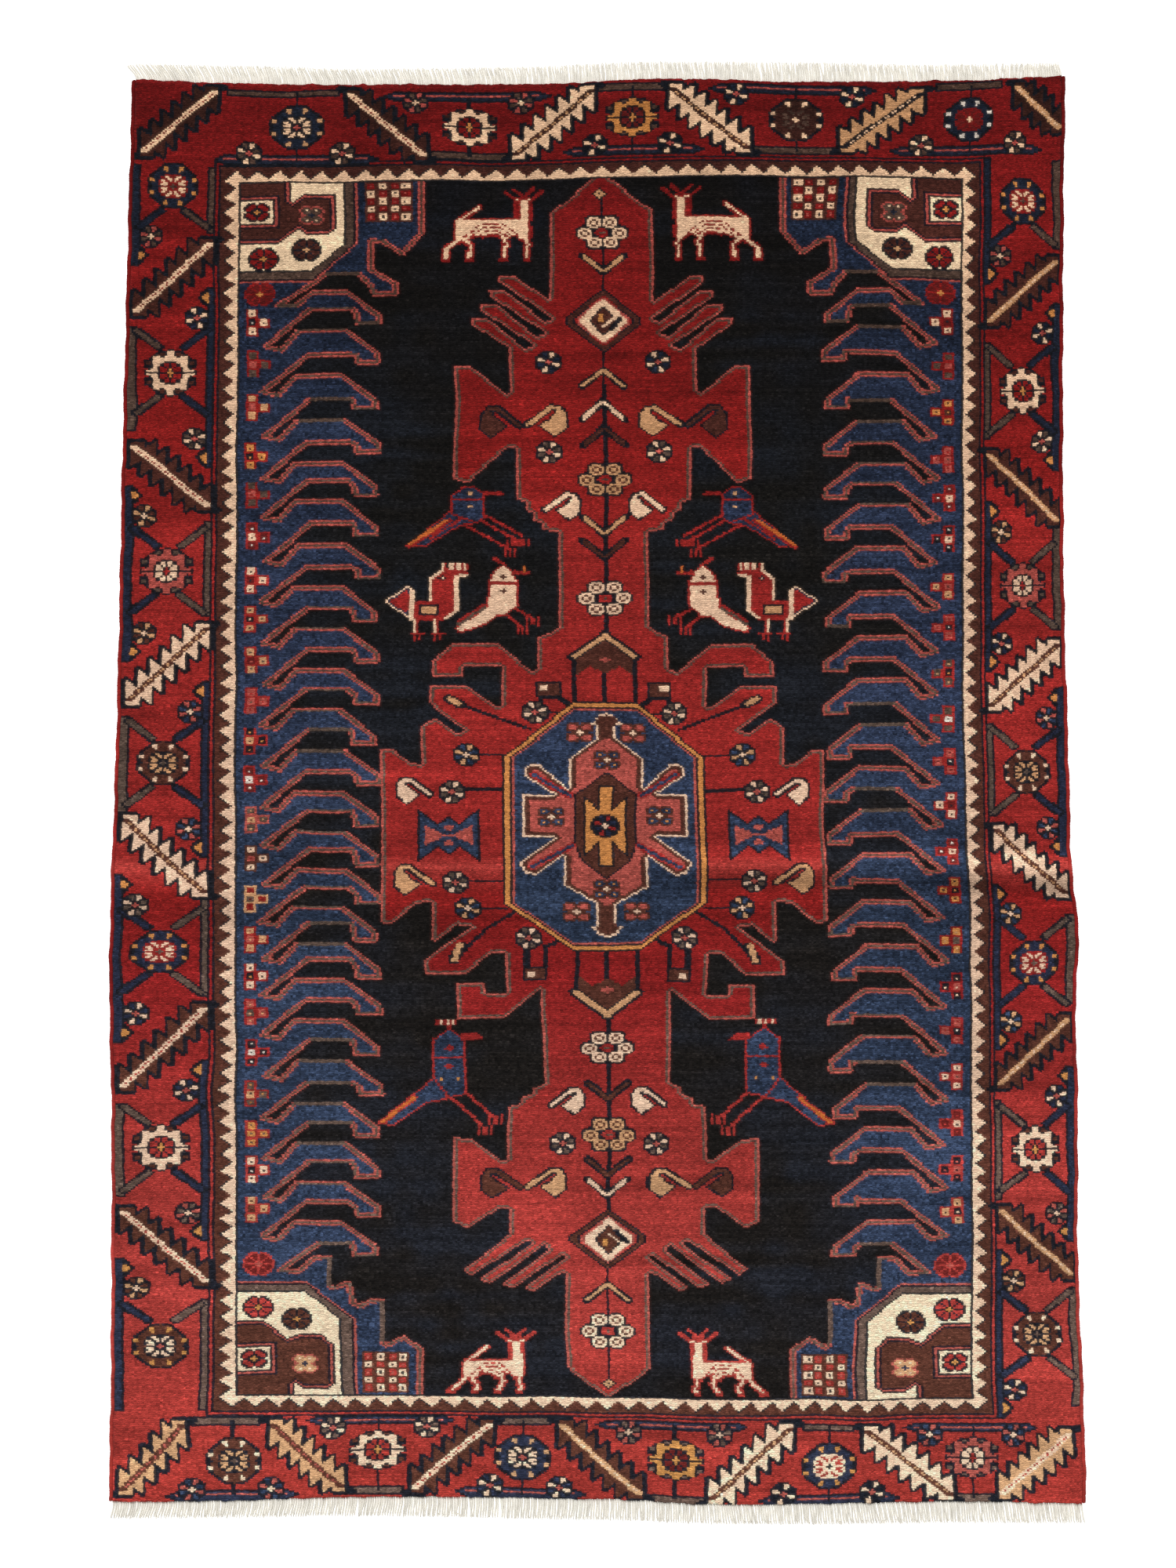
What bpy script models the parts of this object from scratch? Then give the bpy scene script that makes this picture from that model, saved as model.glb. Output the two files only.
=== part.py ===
"""A hand-knotted wool rug lying flat on the floor.

Five pieces, as a weaver makes them: the knotted body (cotton foundation and wool pile in one
sheet), the two long sides overcast with wool into round cords, and the two warp fringes at the
ends, each one comb along its edge.

Metres, +Z up. +X runs across the width and +Y along the length. The origin is on the floor,
under the middle of the rug's bounding box.
"""

import math
from typing import NamedTuple

import bmesh
import bpy

# Driving dimensions
BODY_HALF_LENGTH = 1.000  # nominal half length of the knotted part, without the fringes
BODY_THICKNESS = 0.009  # foundation and pile together
CORD_DIAMETER = 0.007  # the overcast side cord
FRINGE_THICKNESS = 0.0025
FRINGE_HEADER = 0.004  # the close-set strip of warp that the fringe's teeth grow from
GAP = 0.0003  # clear space between the body and its fringes
CORD_GAP = 0.0005  # and beside the side cords, which follow the body's curving edge

# Fineness of the shapes
PLAIN_PITCH = 0.10  # between the body's rows where it lies flat
FOLDED_PITCH = 0.0125
FOLDED_FROM, FOLDED_TO = -0.30, -0.0625  # the stretch of length that holds the cross folds
PLAIN_COLUMN_PITCH = 0.064
CREASED_COLUMN_PITCH = 0.022
CREASED_FROM, CREASED_TO = 0.030, 0.140  # the stretch of width that holds the long crease
END_EASE = 0.25  # how far in from each end the uneven end line is felt
FRINGE_TEETH = 72
TOOTH_ROOT_SHARE, TOOTH_TIP_SHARE = 0.72, 0.50  # of the tooth pitch
CORD_RESOLUTION = 2  # bevel segments a quarter turn


class Side(NamedTuple):
    """The long sides at one distance along the rug, measured from the centre line."""

    along: float
    left: float
    right: float


class End(NamedTuple):
    """The two ends at one distance across the rug."""

    across: float
    top_pile: float
    top_tip: float
    top_lean: float
    bottom_pile: float
    bottom_tip: float
    bottom_lean: float


class Fold(NamedTuple):
    """A low ridge in the lying rug, along a straight crest line."""

    start: tuple
    end: tuple
    height: float
    half_width: float
    start_share: float  # share of the height that is left at the start of the crest
    end_share: float


# The weaver's tension changed as the work went on, so the rug widens from top to bottom.
SIDES = [
    Side(along=1.01, left=0.657, right=0.662),
    Side(along=0.85, left=0.662, right=0.659),
    Side(along=0.65, left=0.667, right=0.658),
    Side(along=0.45, left=0.672, right=0.658),
    Side(along=0.25, left=0.676, right=0.660),
    Side(along=0.05, left=0.681, right=0.666),
    Side(along=-0.12, left=0.687, right=0.671),
    Side(along=-0.20, left=0.689, right=0.681),
    Side(along=-0.28, left=0.690, right=0.676),
    Side(along=-0.45, left=0.687, right=0.679),
    Side(along=-0.65, left=0.687, right=0.679),
    Side(along=-0.85, left=0.688, right=0.687),
    Side(along=-1.00, left=0.691, right=0.691),
]

# top_pile and bottom_pile are where the knots end, the tips are where the fringe ends, and
# the leans are how far the fringe's tips lie to the right of its roots.
ENDS = [
    End(-0.69, 1.0070, 1.0250, -0.0110, -0.9980, -1.0215, -0.0040),
    End(-0.50, 0.9996, 1.0270, -0.0100, -0.9970, -1.0200, -0.0030),
    End(-0.33, 0.9980, 1.0200, -0.0060, -0.9910, -1.0180, -0.0010),
    End(-0.07, 0.9990, 1.0240, -0.0030, -0.9935, -1.0230, 0.0000),
    End(0.05, 1.0050, 1.0300, -0.0020, -0.9960, -1.0250, 0.0020),
    End(0.15, 1.0057, 1.0300, -0.0010, -1.0020, -1.0290, 0.0040),
    End(0.30, 1.0020, 1.0290, -0.0020, -1.0013, -1.0300, 0.0060),
    End(0.50, 1.0035, 1.0260, 0.0000, -0.9980, -1.0280, 0.0070),
    End(0.69, 1.0123, 1.0290, 0.0020, -1.0010, -1.0280, 0.0050),
]

FOLDS = [
    Fold((0.72, -0.116), (0.08, -0.106), 0.009, 0.036, start_share=1.0, end_share=0.25),
    Fold((-0.72, -0.140), (-0.04, -0.174), 0.006, 0.048, start_share=0.8, end_share=0.3),
    Fold((-0.10, -0.214), (0.36, -0.262), 0.004, 0.040, start_share=0.3, end_share=0.3),
    Fold((0.085, 0.42), (0.085, -0.88), 0.0030, 0.044, start_share=0.0, end_share=0.3),
]


def clear_scene():
    """Removes whatever the scene holds."""
    for obj in list(bpy.data.objects):
        bpy.data.objects.remove(obj)


def smooth_between(points, at):
    """The height at one place of the smooth curve through the points, which are (place, height)
    in rising order of place."""
    at = min(max(at, points[0][0]), points[-1][0])
    after = next(i for i in range(1, len(points)) if at <= points[i][0])
    start, end = points[after - 1], points[after]
    before = points[max(after - 2, 0)]
    beyond = points[min(after + 1, len(points) - 1)]
    width = end[0] - start[0]
    share = (at - start[0]) / width
    slope_in = (end[1] - before[1]) / (end[0] - before[0]) * width
    slope_out = (beyond[1] - start[1]) / (beyond[0] - start[0]) * width
    bow_in = share * (1 - share) ** 2
    bow_out = share**2 * (share - 1)
    ease = share**2 * (3 - 2 * share)
    return start[1] * (1 - ease) + end[1] * ease + slope_in * bow_in + slope_out * bow_out


def linear_between(points, at):
    """As smooth_between, with straight lines from point to point."""
    at = min(max(at, points[0][0]), points[-1][0])
    after = next(i for i in range(1, len(points)) if at <= points[i][0])
    start, end = points[after - 1], points[after]
    share = (at - start[0]) / (end[0] - start[0])
    return start[1] + (end[1] - start[1]) * share


def column_of(table, column):
    """One column of a table against the table's first column, in rising order."""
    return sorted((row[0], getattr(row, column)) for row in table)


def side_distance(column, along):
    """How far a long side lies from the centre line."""
    return smooth_between(column_of(SIDES, column), along)


def end_ease(depth):
    """1 at an end of the rug and 0 from END_EASE inwards, where depth is the way in."""
    share = min(max(1 - depth / END_EASE, 0.0), 1.0)
    return share**2 * (3 - 2 * share)


def end_drift(across, along):
    """How far the uneven end lines push a point along the rug."""
    top = smooth_between(column_of(ENDS, "top_pile"), across) - BODY_HALF_LENGTH
    bottom = smooth_between(column_of(ENDS, "bottom_pile"), across) + BODY_HALF_LENGTH
    top_share = end_ease(BODY_HALF_LENGTH - along)
    bottom_share = end_ease(BODY_HALF_LENGTH + along)
    return top * top_share + bottom * bottom_share


def fold_lift(x, y):
    """How far the folds lift the rug off the floor at a place."""
    lift = 0.0
    for fold in FOLDS:
        run_x, run_y = fold.end[0] - fold.start[0], fold.end[1] - fold.start[1]
        length = math.hypot(run_x, run_y)
        from_x, from_y = x - fold.start[0], y - fold.start[1]
        share = (from_x * run_x + from_y * run_y) / length**2
        share = min(max(share, 0.0), 1.0)
        off = math.hypot(from_x - run_x * share, from_y - run_y * share)
        if off < fold.half_width:
            crest = fold.start_share + (fold.end_share - fold.start_share) * share
            wave = 0.5 + 0.5 * math.cos(math.pi * off / fold.half_width)
            lift += fold.height * crest * wave
    return lift


def spaced(low, high, pitch):
    """Even places from low up to but without high, about a pitch apart."""
    count = round((high - low) / pitch)
    return [low + (high - low) * i / count for i in range(count)]


def row_places():
    """Nominal distances along the rug of the body's rows: close-set where it is folded."""
    half = BODY_HALF_LENGTH
    below = spaced(-half, FOLDED_FROM, PLAIN_PITCH)
    folded = spaced(FOLDED_FROM, FOLDED_TO, FOLDED_PITCH)
    above = spaced(FOLDED_TO, half, PLAIN_PITCH)
    return below + folded + above + [half]


def body_sides(along):
    """The knotted body's own left and right edges, inside the side cords."""
    inset = CORD_DIAMETER + CORD_GAP
    return inset - side_distance("left", along), side_distance("right", along) - inset


def column_shares():
    """The body's columns as shares of its width: close-set along the long crease."""
    left, right = body_sides(0.0)
    places = spaced(left, CREASED_FROM, PLAIN_COLUMN_PITCH)
    places += spaced(CREASED_FROM, CREASED_TO, CREASED_COLUMN_PITCH)
    places += spaced(CREASED_TO, right, PLAIN_COLUMN_PITCH)
    return [(place - left) / (right - left) for place in places] + [1.0]


def body_place(share, along):
    """Where a point of the knotted body lies, from its share of the width and nominal place."""
    left, right = body_sides(along)
    x = left + (right - left) * share
    return x, along + end_drift(x, along)


def new_material(name, colour, roughness):
    """A plain fibre finish."""
    material = bpy.data.materials.new(name)
    material.use_nodes = True
    shader = material.node_tree.nodes["Principled BSDF"]
    shader.inputs["Base Color"].default_value = (*colour, 1.0)
    shader.inputs["Roughness"].default_value = roughness
    shader.inputs["Metallic"].default_value = 0.0
    return material


def add_object(name, data, material, collection):
    """Links a new object with its material into the rug's collection."""
    data.materials.append(material)
    obj = bpy.data.objects.new(name, data)
    collection.objects.link(obj)
    return obj


def make_body(collection, material):
    """The knotted sheet: a grid laid on the outline and the folds, given its thickness."""
    rows, columns = row_places(), column_shares()
    last_row, last_column = len(rows) - 1, len(columns) - 1
    grid = bmesh.new()
    bmesh.ops.create_grid(grid, x_segments=last_column, y_segments=last_row, size=0.5)
    for vertex in grid.verts:
        column = round((vertex.co.x + 0.5) * last_column)
        row = round((vertex.co.y + 0.5) * last_row)
        x, y = body_place(columns[column], rows[row])
        vertex.co = (x, y, BODY_THICKNESS + fold_lift(x, y))
    mesh = bpy.data.meshes.new("knotted_body")
    grid.to_mesh(mesh)
    grid.free()
    body = add_object("knotted_body", mesh, material, collection)
    thickness = body.modifiers.new("thickness", "SOLIDIFY")
    thickness.thickness = BODY_THICKNESS
    thickness.offset = -1.0
    return body


def make_side_cord(name, direction, collection, material):
    """An overcast side cord, which follows the body's edge a gap away and is lifted with it."""
    share = 0.0 if direction < 0 else 1.0
    reach = CORD_GAP + CORD_DIAMETER / 2
    curve = bpy.data.curves.new(name, "CURVE")
    curve.dimensions = "3D"
    curve.bevel_depth = CORD_DIAMETER / 2
    curve.bevel_resolution = CORD_RESOLUTION
    curve.use_fill_caps = True
    route = curve.splines.new("POLY")
    rows = row_places()
    route.points.add(len(rows) - 1)
    for point, along in zip(route.points, rows):
        edge_x, y = body_place(share, along)
        z = CORD_DIAMETER / 2 + fold_lift(edge_x, y)
        point.co = (edge_x + direction * reach, y, z, 1.0)
    return add_object(name, curve, material, collection)


def pile_end(end):
    """The body's end line as the straight stretches between its columns."""
    along = BODY_HALF_LENGTH if end == "top" else -BODY_HALF_LENGTH
    return [body_place(share, along) for share in column_shares()]


def fringe_outline(end):
    """The comb's outline: teeth out along the tips, then back along the body's end line."""
    outward = 1 if end == "top" else -1
    line = pile_end(end)
    left, right = line[0][0], line[-1][0]
    pitch = (right - left) / FRINGE_TEETH
    tips = column_of(ENDS, end + "_tip")
    leans = column_of(ENDS, end + "_lean")
    outline = []
    for tooth in range(FRINGE_TEETH):
        middle = left + pitch * (tooth + 0.5)
        tip_x = middle + smooth_between(leans, middle)
        tip_y = smooth_between(tips, middle)
        half_root = pitch * TOOTH_ROOT_SHARE / 2
        half_tip = pitch * TOOTH_TIP_SHARE / 2
        for x in (middle - half_root, middle + half_root):
            root_y = linear_between(line, x) + outward * (GAP + FRINGE_HEADER)
            outline.append((x, root_y))
        outline[-1:-1] = [(tip_x - half_tip, tip_y), (tip_x + half_tip, tip_y)]
    outline += [(x, y + outward * GAP) for x, y in reversed(line)]
    return outline


def make_fringe(name, end, collection, material):
    """A warp fringe: one flat comb on the floor along an end of the body."""
    curve = bpy.data.curves.new(name, "CURVE")
    curve.dimensions = "2D"
    curve.fill_mode = "BOTH"
    curve.extrude = FRINGE_THICKNESS / 2
    outline = fringe_outline(end)
    edge = curve.splines.new("POLY")
    edge.points.add(len(outline) - 1)
    for point, (x, y) in zip(edge.points, outline):
        point.co = (x, y, 0.0, 1.0)
    edge.use_cyclic_u = True
    fringe = add_object(name, curve, material, collection)
    fringe.location.z = FRINGE_THICKNESS / 2
    return fringe


def main():
    """Builds the rug's five pieces."""
    clear_scene()
    rug = bpy.data.collections.new("knotted_wool_rug")
    bpy.context.scene.collection.children.link(rug)
    pile_wool = new_material("pile_wool", (0.30, 0.025, 0.025), 0.9)
    side_wool = new_material("side_wool", (0.33, 0.03, 0.03), 0.85)
    warp_cotton = new_material("warp_cotton", (0.80, 0.75, 0.64), 0.9)
    make_body(rug, pile_wool)
    make_side_cord("side_cord_left", -1, rug, side_wool)
    make_side_cord("side_cord_right", 1, rug, side_wool)
    make_fringe("fringe_top", "top", rug, warp_cotton)
    make_fringe("fringe_bottom", "bottom", rug, warp_cotton)


main()
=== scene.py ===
"""Looks of a hand-knotted wool rug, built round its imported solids.

The rug is charted the way a weaver works: a cartoon says which wool each knot is tied in, motif
by motif, and the pile is then made one facet to a knot on the lying rug's outline and folds.
Places on the cartoon are (column, row) in knots: column 0 runs down the middle, columns count to
the right, and row 0 is the first row at the top end. Everything else is in metres, +Z up.
"""

from __future__ import annotations

import logging
import math
from dataclasses import dataclass, field, replace
from enum import Enum, IntEnum
from typing import Iterator, NamedTuple, Sequence

import bpy
import numpy as np
from bpy.types import Material, Node, NodeSocket, Object, Scene
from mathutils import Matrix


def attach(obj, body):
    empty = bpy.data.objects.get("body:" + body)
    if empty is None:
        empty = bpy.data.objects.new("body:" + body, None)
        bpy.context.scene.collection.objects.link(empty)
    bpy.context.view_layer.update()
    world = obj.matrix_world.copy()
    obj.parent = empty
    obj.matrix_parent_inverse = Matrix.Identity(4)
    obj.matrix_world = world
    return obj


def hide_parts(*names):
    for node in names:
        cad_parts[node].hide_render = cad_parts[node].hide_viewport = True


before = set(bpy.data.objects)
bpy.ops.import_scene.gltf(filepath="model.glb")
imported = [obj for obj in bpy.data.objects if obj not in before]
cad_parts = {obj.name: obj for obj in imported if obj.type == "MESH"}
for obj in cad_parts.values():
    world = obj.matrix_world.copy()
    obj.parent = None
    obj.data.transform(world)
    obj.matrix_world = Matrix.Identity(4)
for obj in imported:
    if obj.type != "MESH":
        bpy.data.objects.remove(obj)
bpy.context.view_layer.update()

LOG = logging.getLogger("rug")

Place = tuple[float, float]

COLUMN_REACH = 200  # knots each side of the middle column
COLUMNS = 2 * COLUMN_REACH + 1
ROWS = 800


class Wool(IntEnum):
    """The wools on the weaver's shelf."""

    MADDER = 0
    ROSE = 1
    BLACK = 2
    NIGHT = 3
    INDIGO = 4
    NAVY = 5
    CREAM = 6
    GOLD = 7
    BROWN = 8
    TAUPE = 9
    CAMEL = 10
    ORANGE = 11
    WHITE = 12
    GARNET = 13
    IVORY = 14


MADDER, ROSE, BLACK, NIGHT, INDIGO, NAVY, CREAM, GOLD, *LATER_WOOLS = Wool
BROWN, TAUPE, CAMEL, ORANGE, WHITE, GARNET, IVORY = LATER_WOOLS

OUTLINE = (NIGHT,)
DISC_CORNERS = 24
EDGE_SHIFT = 1.1  # knots that an edged outline is shifted each way to work its edge
LINE_EASE = 0.1  # knots past half a line's width whose middles it still ties


class Cartoon:
    """The whole chart: the wool of every knot, top row first."""

    def __init__(self) -> None:
        """Starts with plain madder ground."""
        self.wools = np.full((ROWS, COLUMNS), MADDER, dtype=np.int8)


@dataclass(frozen=True)
class Patch:
    """Some knots of the cartoon: a window of it, and which of its knots are meant."""

    top: int
    left: int
    knots: np.ndarray

    def shrunk(self) -> Patch:
        """The same patch without the knots along its edge."""
        padded = np.pad(self.knots, 1, mode="edge")
        beside = padded[:-2, 1:-1] & padded[2:, 1:-1] & padded[1:-1, :-2] & padded[1:-1, 2:]
        return Patch(self.top, self.left, self.knots & beside)


@dataclass(frozen=True)
class Pen:
    """Ties motifs into the cartoon from a place of its own, mirrored or not.

    Attributes:
        chart: The cartoon that is worked on.
        column: The cartoon column of the pen's own origin.
        row: The cartoon row of the pen's own origin.
        across: 1, or -1 to mirror left and right.
        down: 1, or -1 to mirror top and bottom.
        limits: The first and last column, then the first and last row that it may work.
    """

    chart: Cartoon
    column: float = 0.0
    row: float = 0.0
    across: int = 1
    down: int = 1
    limits: tuple[int, int, int, int] = (-COLUMN_REACH, COLUMN_REACH, 0, ROWS - 1)

    def at(self, column: float, row: float, across: int = 1, down: int = 1) -> Pen:
        """A pen with its origin at a place of this one.

        Args:
            column: The new origin's column here.
            row: The new origin's row here.
            across: -1 to mirror left and right once more.
            down: -1 to mirror top and bottom once more.

        Returns:
            The new pen.
        """
        ((home_column, home_row),) = self._placed([(column, row)])
        mirrors = self.across * across, self.down * down
        return replace(self, column=home_column, row=home_row, across=mirrors[0], down=mirrors[1])

    def halves(self) -> tuple[Pen, Pen]:
        """This pen and its mirror image in its own column."""
        return self, self.at(0, 0, across=-1)

    def ways(self) -> tuple[Pen, Pen]:
        """This pen and its mirror image in its own row."""
        return self, self.at(0, 0, down=-1)

    def fill(self, wool: Wool, places: Sequence[Place], edges: Sequence[Wool] = ()) -> None:
        """Fills a closed outline.

        Args:
            wool: The wool inside.
            places: The outline's corners.
            edges: Wools of the one-knot lines just inside the outline, outermost first.
        """
        placed = self._placed(places)
        columns, rows, top, left = self._window(placed, 1)
        inside = np.zeros(columns.shape, dtype=bool)
        for (c0, r0), (c1, r1) in zip(placed, placed[1:] + placed[:1]):
            if r0 != r1:
                beside = columns < (c1 - c0) * (rows - r0) / (r1 - r0) + c0
                inside ^= ((r0 > rows) != (r1 > rows)) & beside
        patch = Patch(top, left, inside)
        for edge in edges:
            self._tie(edge, patch)
            patch = patch.shrunk()
        self._tie(wool, patch)

    def fill_both(self, wool: Wool, half: Sequence[Place], edges: Sequence[Wool] = ()) -> None:
        """Fills a closed outline given by its left half, from the top down."""
        self.fill(wool, [*half, *((-column, row) for column, row in reversed(half))], edges)

    def edged(self, wool: Wool, places: Sequence[Place], edge: Wool) -> None:
        """Fills a closed outline and works a one-knot line of another wool round its outside."""
        for across, down in ((-EDGE_SHIFT, 0), (EDGE_SHIFT, 0), (0, -EDGE_SHIFT), (0, EDGE_SHIFT)):
            self.at(across, down).fill(edge, places)
        self.fill(wool, places)

    def box(
        self, wool: Wool, left: float, top: float, right: float, bottom: float, edges: Sequence[Wool] = ()
    ) -> None:
        """Fills a box given by its sides, with lines of other wools just inside it."""
        self.fill(wool, [(left, top), (right, top), (right, bottom), (left, bottom)], edges)

    def disc(self, wool: Wool, column: float, row: float, wide: float, high: float = 0.0) -> None:
        """Fills an ellipse, given its middle and its half width and half height in knots."""
        high = high or wide
        ring = [math.tau * step / DISC_CORNERS for step in range(DISC_CORNERS)]
        self.fill(wool, [(column + wide * math.cos(a), row + high * math.sin(a)) for a in ring])

    def line(self, wool: Wool, places: Sequence[Place], width: float = 1.0) -> None:
        """Works a line.

        Args:
            wool: The line's wool.
            places: The line's corners.
            width: The line's width in knots.
        """
        placed = self._placed(places)
        columns, rows, top, left = self._window(placed, width)
        near = np.zeros(columns.shape, dtype=bool)
        for (c0, r0), (c1, r1) in zip(placed, placed[1:]):
            run, fall = c1 - c0, r1 - r0
            share = ((columns - c0) * run + (rows - r0) * fall) / max(run**2 + fall**2, 1e-9)
            share = np.clip(share, 0.0, 1.0)
            off = np.hypot(columns - c0 - run * share, rows - r0 - fall * share)
            near |= off <= width / 2 + LINE_EASE
        self._tie(wool, Patch(top, left, near))

    def stamp(self, rows: Sequence[str], wools: dict[str, Wool], quarter: bool = False) -> None:
        """Ties a small motif from its own chart, centred on the pen.

        Args:
            rows: The motif's rows, one letter a knot, "." where the ground stays.
            wools: The wool of each letter.
            quarter: True where the chart is the top left quarter, whose last row and column
                are the motif's middle ones.
        """
        if quarter:
            rows = [row + row[-2::-1] for row in rows]
            rows = rows + rows[-2::-1]
        high, wide = len(rows), len(rows[0])
        for down, row in enumerate(rows):
            for across, letter in enumerate(row):
                if letter in wools:
                    at = (across - (wide - 1) / 2, down - (high - 1) / 2)
                    ((column, line),) = self._placed([at])
                    self._tie_one(wools[letter], math.floor(column + 0.5), math.floor(line))

    def _placed(self, places: Sequence[Place]) -> list[Place]:
        """The places in the cartoon's own columns and rows."""
        return [(self.column + self.across * c, self.row + self.down * r) for c, r in places]

    def _window(self, placed: Sequence[Place], reach: float) -> tuple[np.ndarray, np.ndarray, int, int]:
        """Finds the knots round some places.

        Args:
            placed: The places, in the cartoon's own columns and rows.
            reach: Knots to take in past them.

        Returns:
            The knots' columns and rows, the top row, and the left column's index.
        """
        columns = [c for c, _ in placed]
        rows = [r for _, r in placed]
        first_column, last_column, first_row, last_row = self.limits
        left = max(math.floor(min(columns) - reach), first_column)
        right = min(math.ceil(max(columns) + reach), last_column)
        top = max(math.floor(min(rows) - reach), first_row)
        bottom = min(math.ceil(max(rows) + reach), last_row)
        grid = np.meshgrid(np.arange(left, right + 1), np.arange(top, bottom + 1) + 0.5)
        return grid[0], grid[1], top, left + COLUMN_REACH

    def _tie(self, wool: Wool, patch: Patch) -> None:
        """Ties the knots of a patch."""
        high, wide = patch.knots.shape
        view = self.chart.wools[patch.top : patch.top + high, patch.left : patch.left + wide]
        view[patch.knots] = wool

    def _tie_one(self, wool: Wool, column: int, row: int) -> None:
        """Ties one knot, where the cartoon has it."""
        first_column, last_column, first_row, last_row = self.limits
        if first_column <= column <= last_column and first_row <= row <= last_row:
            self.chart.wools[row, column + COLUMN_REACH] = wool



ROSETTE_WOOLS = "ngdpr"  # the letters of ground, dots, disc, petals and heart
GEAR_WOOLS = "cbpr"  # the letters of wheel, blobs, petals and heart
BUD_WOOLS = "ncr"  # the letters of dark petals, light petals and heart
GEAR_TALL_ROWS = (3, 6)  # the toothed chart's rows that the end borders leave out


class Flower(Enum):
    """The big rosettes of the border, each with the wools of its chart's letters."""

    NAVY_WITH_CREAM = (NAVY, CAMEL, NIGHT, CREAM, ROSE)
    NAVY_WITH_DISC = (NAVY, GOLD, MADDER, CREAM, TAUPE)
    NAVY_WITH_WHITE = (NAVY, WHITE, MADDER, GARNET, CREAM)
    NAVY_WITH_RED = (NAVY, GOLD, CREAM, MADDER, NIGHT)
    BROWN_WITH_CREAM = (BROWN, CREAM, NIGHT, CAMEL, TAUPE)
    BROWN_WITH_GOLD = (BROWN, GOLD, NIGHT, CREAM, ROSE)
    BROWN_PLAIN = (BROWN, CREAM, BROWN, TAUPE, CREAM)
    CREAM_GEAR = (CREAM, BROWN, MADDER, GOLD)
    GOLD_GEAR = (GOLD, TAUPE, GARNET, GOLD)
    ROSE_GEAR = (ROSE, TAUPE, CREAM, MADDER)


class Bud(Enum):
    """The small rosettes, each with the wools of its chart's letters."""

    BROWN = (Wool.BROWN, Wool.CAMEL, Wool.CREAM)
    DARK = (Wool.NIGHT, Wool.CREAM, Wool.ROSE)
    NAVY = (Wool.NAVY, Wool.CREAM, Wool.ROSE)
    PINK = (Wool.TAUPE, Wool.ROSE, Wool.CREAM)
    SKY = (Wool.INDIGO, Wool.CAMEL, Wool.CREAM)
    BLUE = (Wool.INDIGO, Wool.ROSE, Wool.CREAM)
    TAN = (Wool.TAUPE, Wool.CREAM, Wool.ROSE)


ROSETTE_QUARTER = (
    ".......kkkkn",
    "......kknnnn",
    ".....kkggnnn",
    "....kknggnnn",
    "...kknnngnnn",
    "..kknnnnnnnn",
    ".kknnnnndddd",
    ".kknnnddppdd",
    "kggnnndddppd",
    "kggnndppddpd",
    "kknnnddppddd",
    "kknnndpppddr",
    "kkknnnddddrr",
)
GEAR_QUARTER = (
    "..........kk",
    "......kkkkcc",
    ".....kkbbkcc",
    "....kkbbbkcc",
    "...kccckkccc",
    "..kkcccccccc",
    "kkkkcccccccc",
    "kbbkccccckkk",
    "kbbkccckkppk",
    "kkkkccckkppk",
    "kkkkcckppkpk",
    "..kccckpppkr",
    "kccccckpppkr",
    "kkkkkkkkkkrr",
)
BUD_HALF = (
    "...kkkkk...",
    "..knnkcck..",
    ".kknnkcckk.",
    "kkkknkckkkk",
    "kcckkkkknnk",
    "kccckrknnnk",
)
BUD_CHART = BUD_HALF + ("kkkkrrrkkkk",) + tuple(row[::-1] for row in reversed(BUD_HALF))


def dressed(letters: str, wools: Sequence[Wool]) -> dict[str, Wool]:
    """The wool of each of a chart's letters, where "k" is its dark outline."""
    return {"k": NIGHT, **dict(zip(letters, wools))}


def work_flower(pen: Pen, flower: Flower, low: bool = False) -> None:
    """Works a big rosette round the pen's origin.

    Args:
        pen: A pen at the rosette's middle.
        flower: Which rosette.
        low: True where a toothed one is worked in fewer rows, as it is in the end borders.
    """
    if len(flower.value) == len(ROSETTE_WOOLS):
        pen.stamp(ROSETTE_QUARTER, dressed(ROSETTE_WOOLS, flower.value), quarter=True)
        return
    rows = [row for number, row in enumerate(GEAR_QUARTER) if not low or number not in GEAR_TALL_ROWS]
    pen.stamp(rows, dressed(GEAR_WOOLS, flower.value), quarter=True)


def work_bud(pen: Pen, bud: Bud) -> None:
    """Works a small rosette round the pen's origin."""
    pen.stamp(BUD_CHART, dressed(BUD_WOOLS, bud.value))


class LeafDress(Enum):
    """The wools of a sawn leaf: its blade, its midrib and the flecks along the midrib."""

    BROWN = (Wool.BROWN, Wool.CREAM, Wool.MADDER)
    BROWN_PLAIN = (Wool.BROWN, Wool.CAMEL, Wool.CREAM)
    CREAM = (Wool.CREAM, Wool.BROWN, Wool.CAMEL)
    GOLD = (Wool.CAMEL, Wool.NIGHT, Wool.CREAM)
    PALE = (Wool.CAMEL, Wool.BROWN, Wool.ROSE)
    CAMEL = (Wool.CAMEL, Wool.CREAM, Wool.MADDER)


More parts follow.
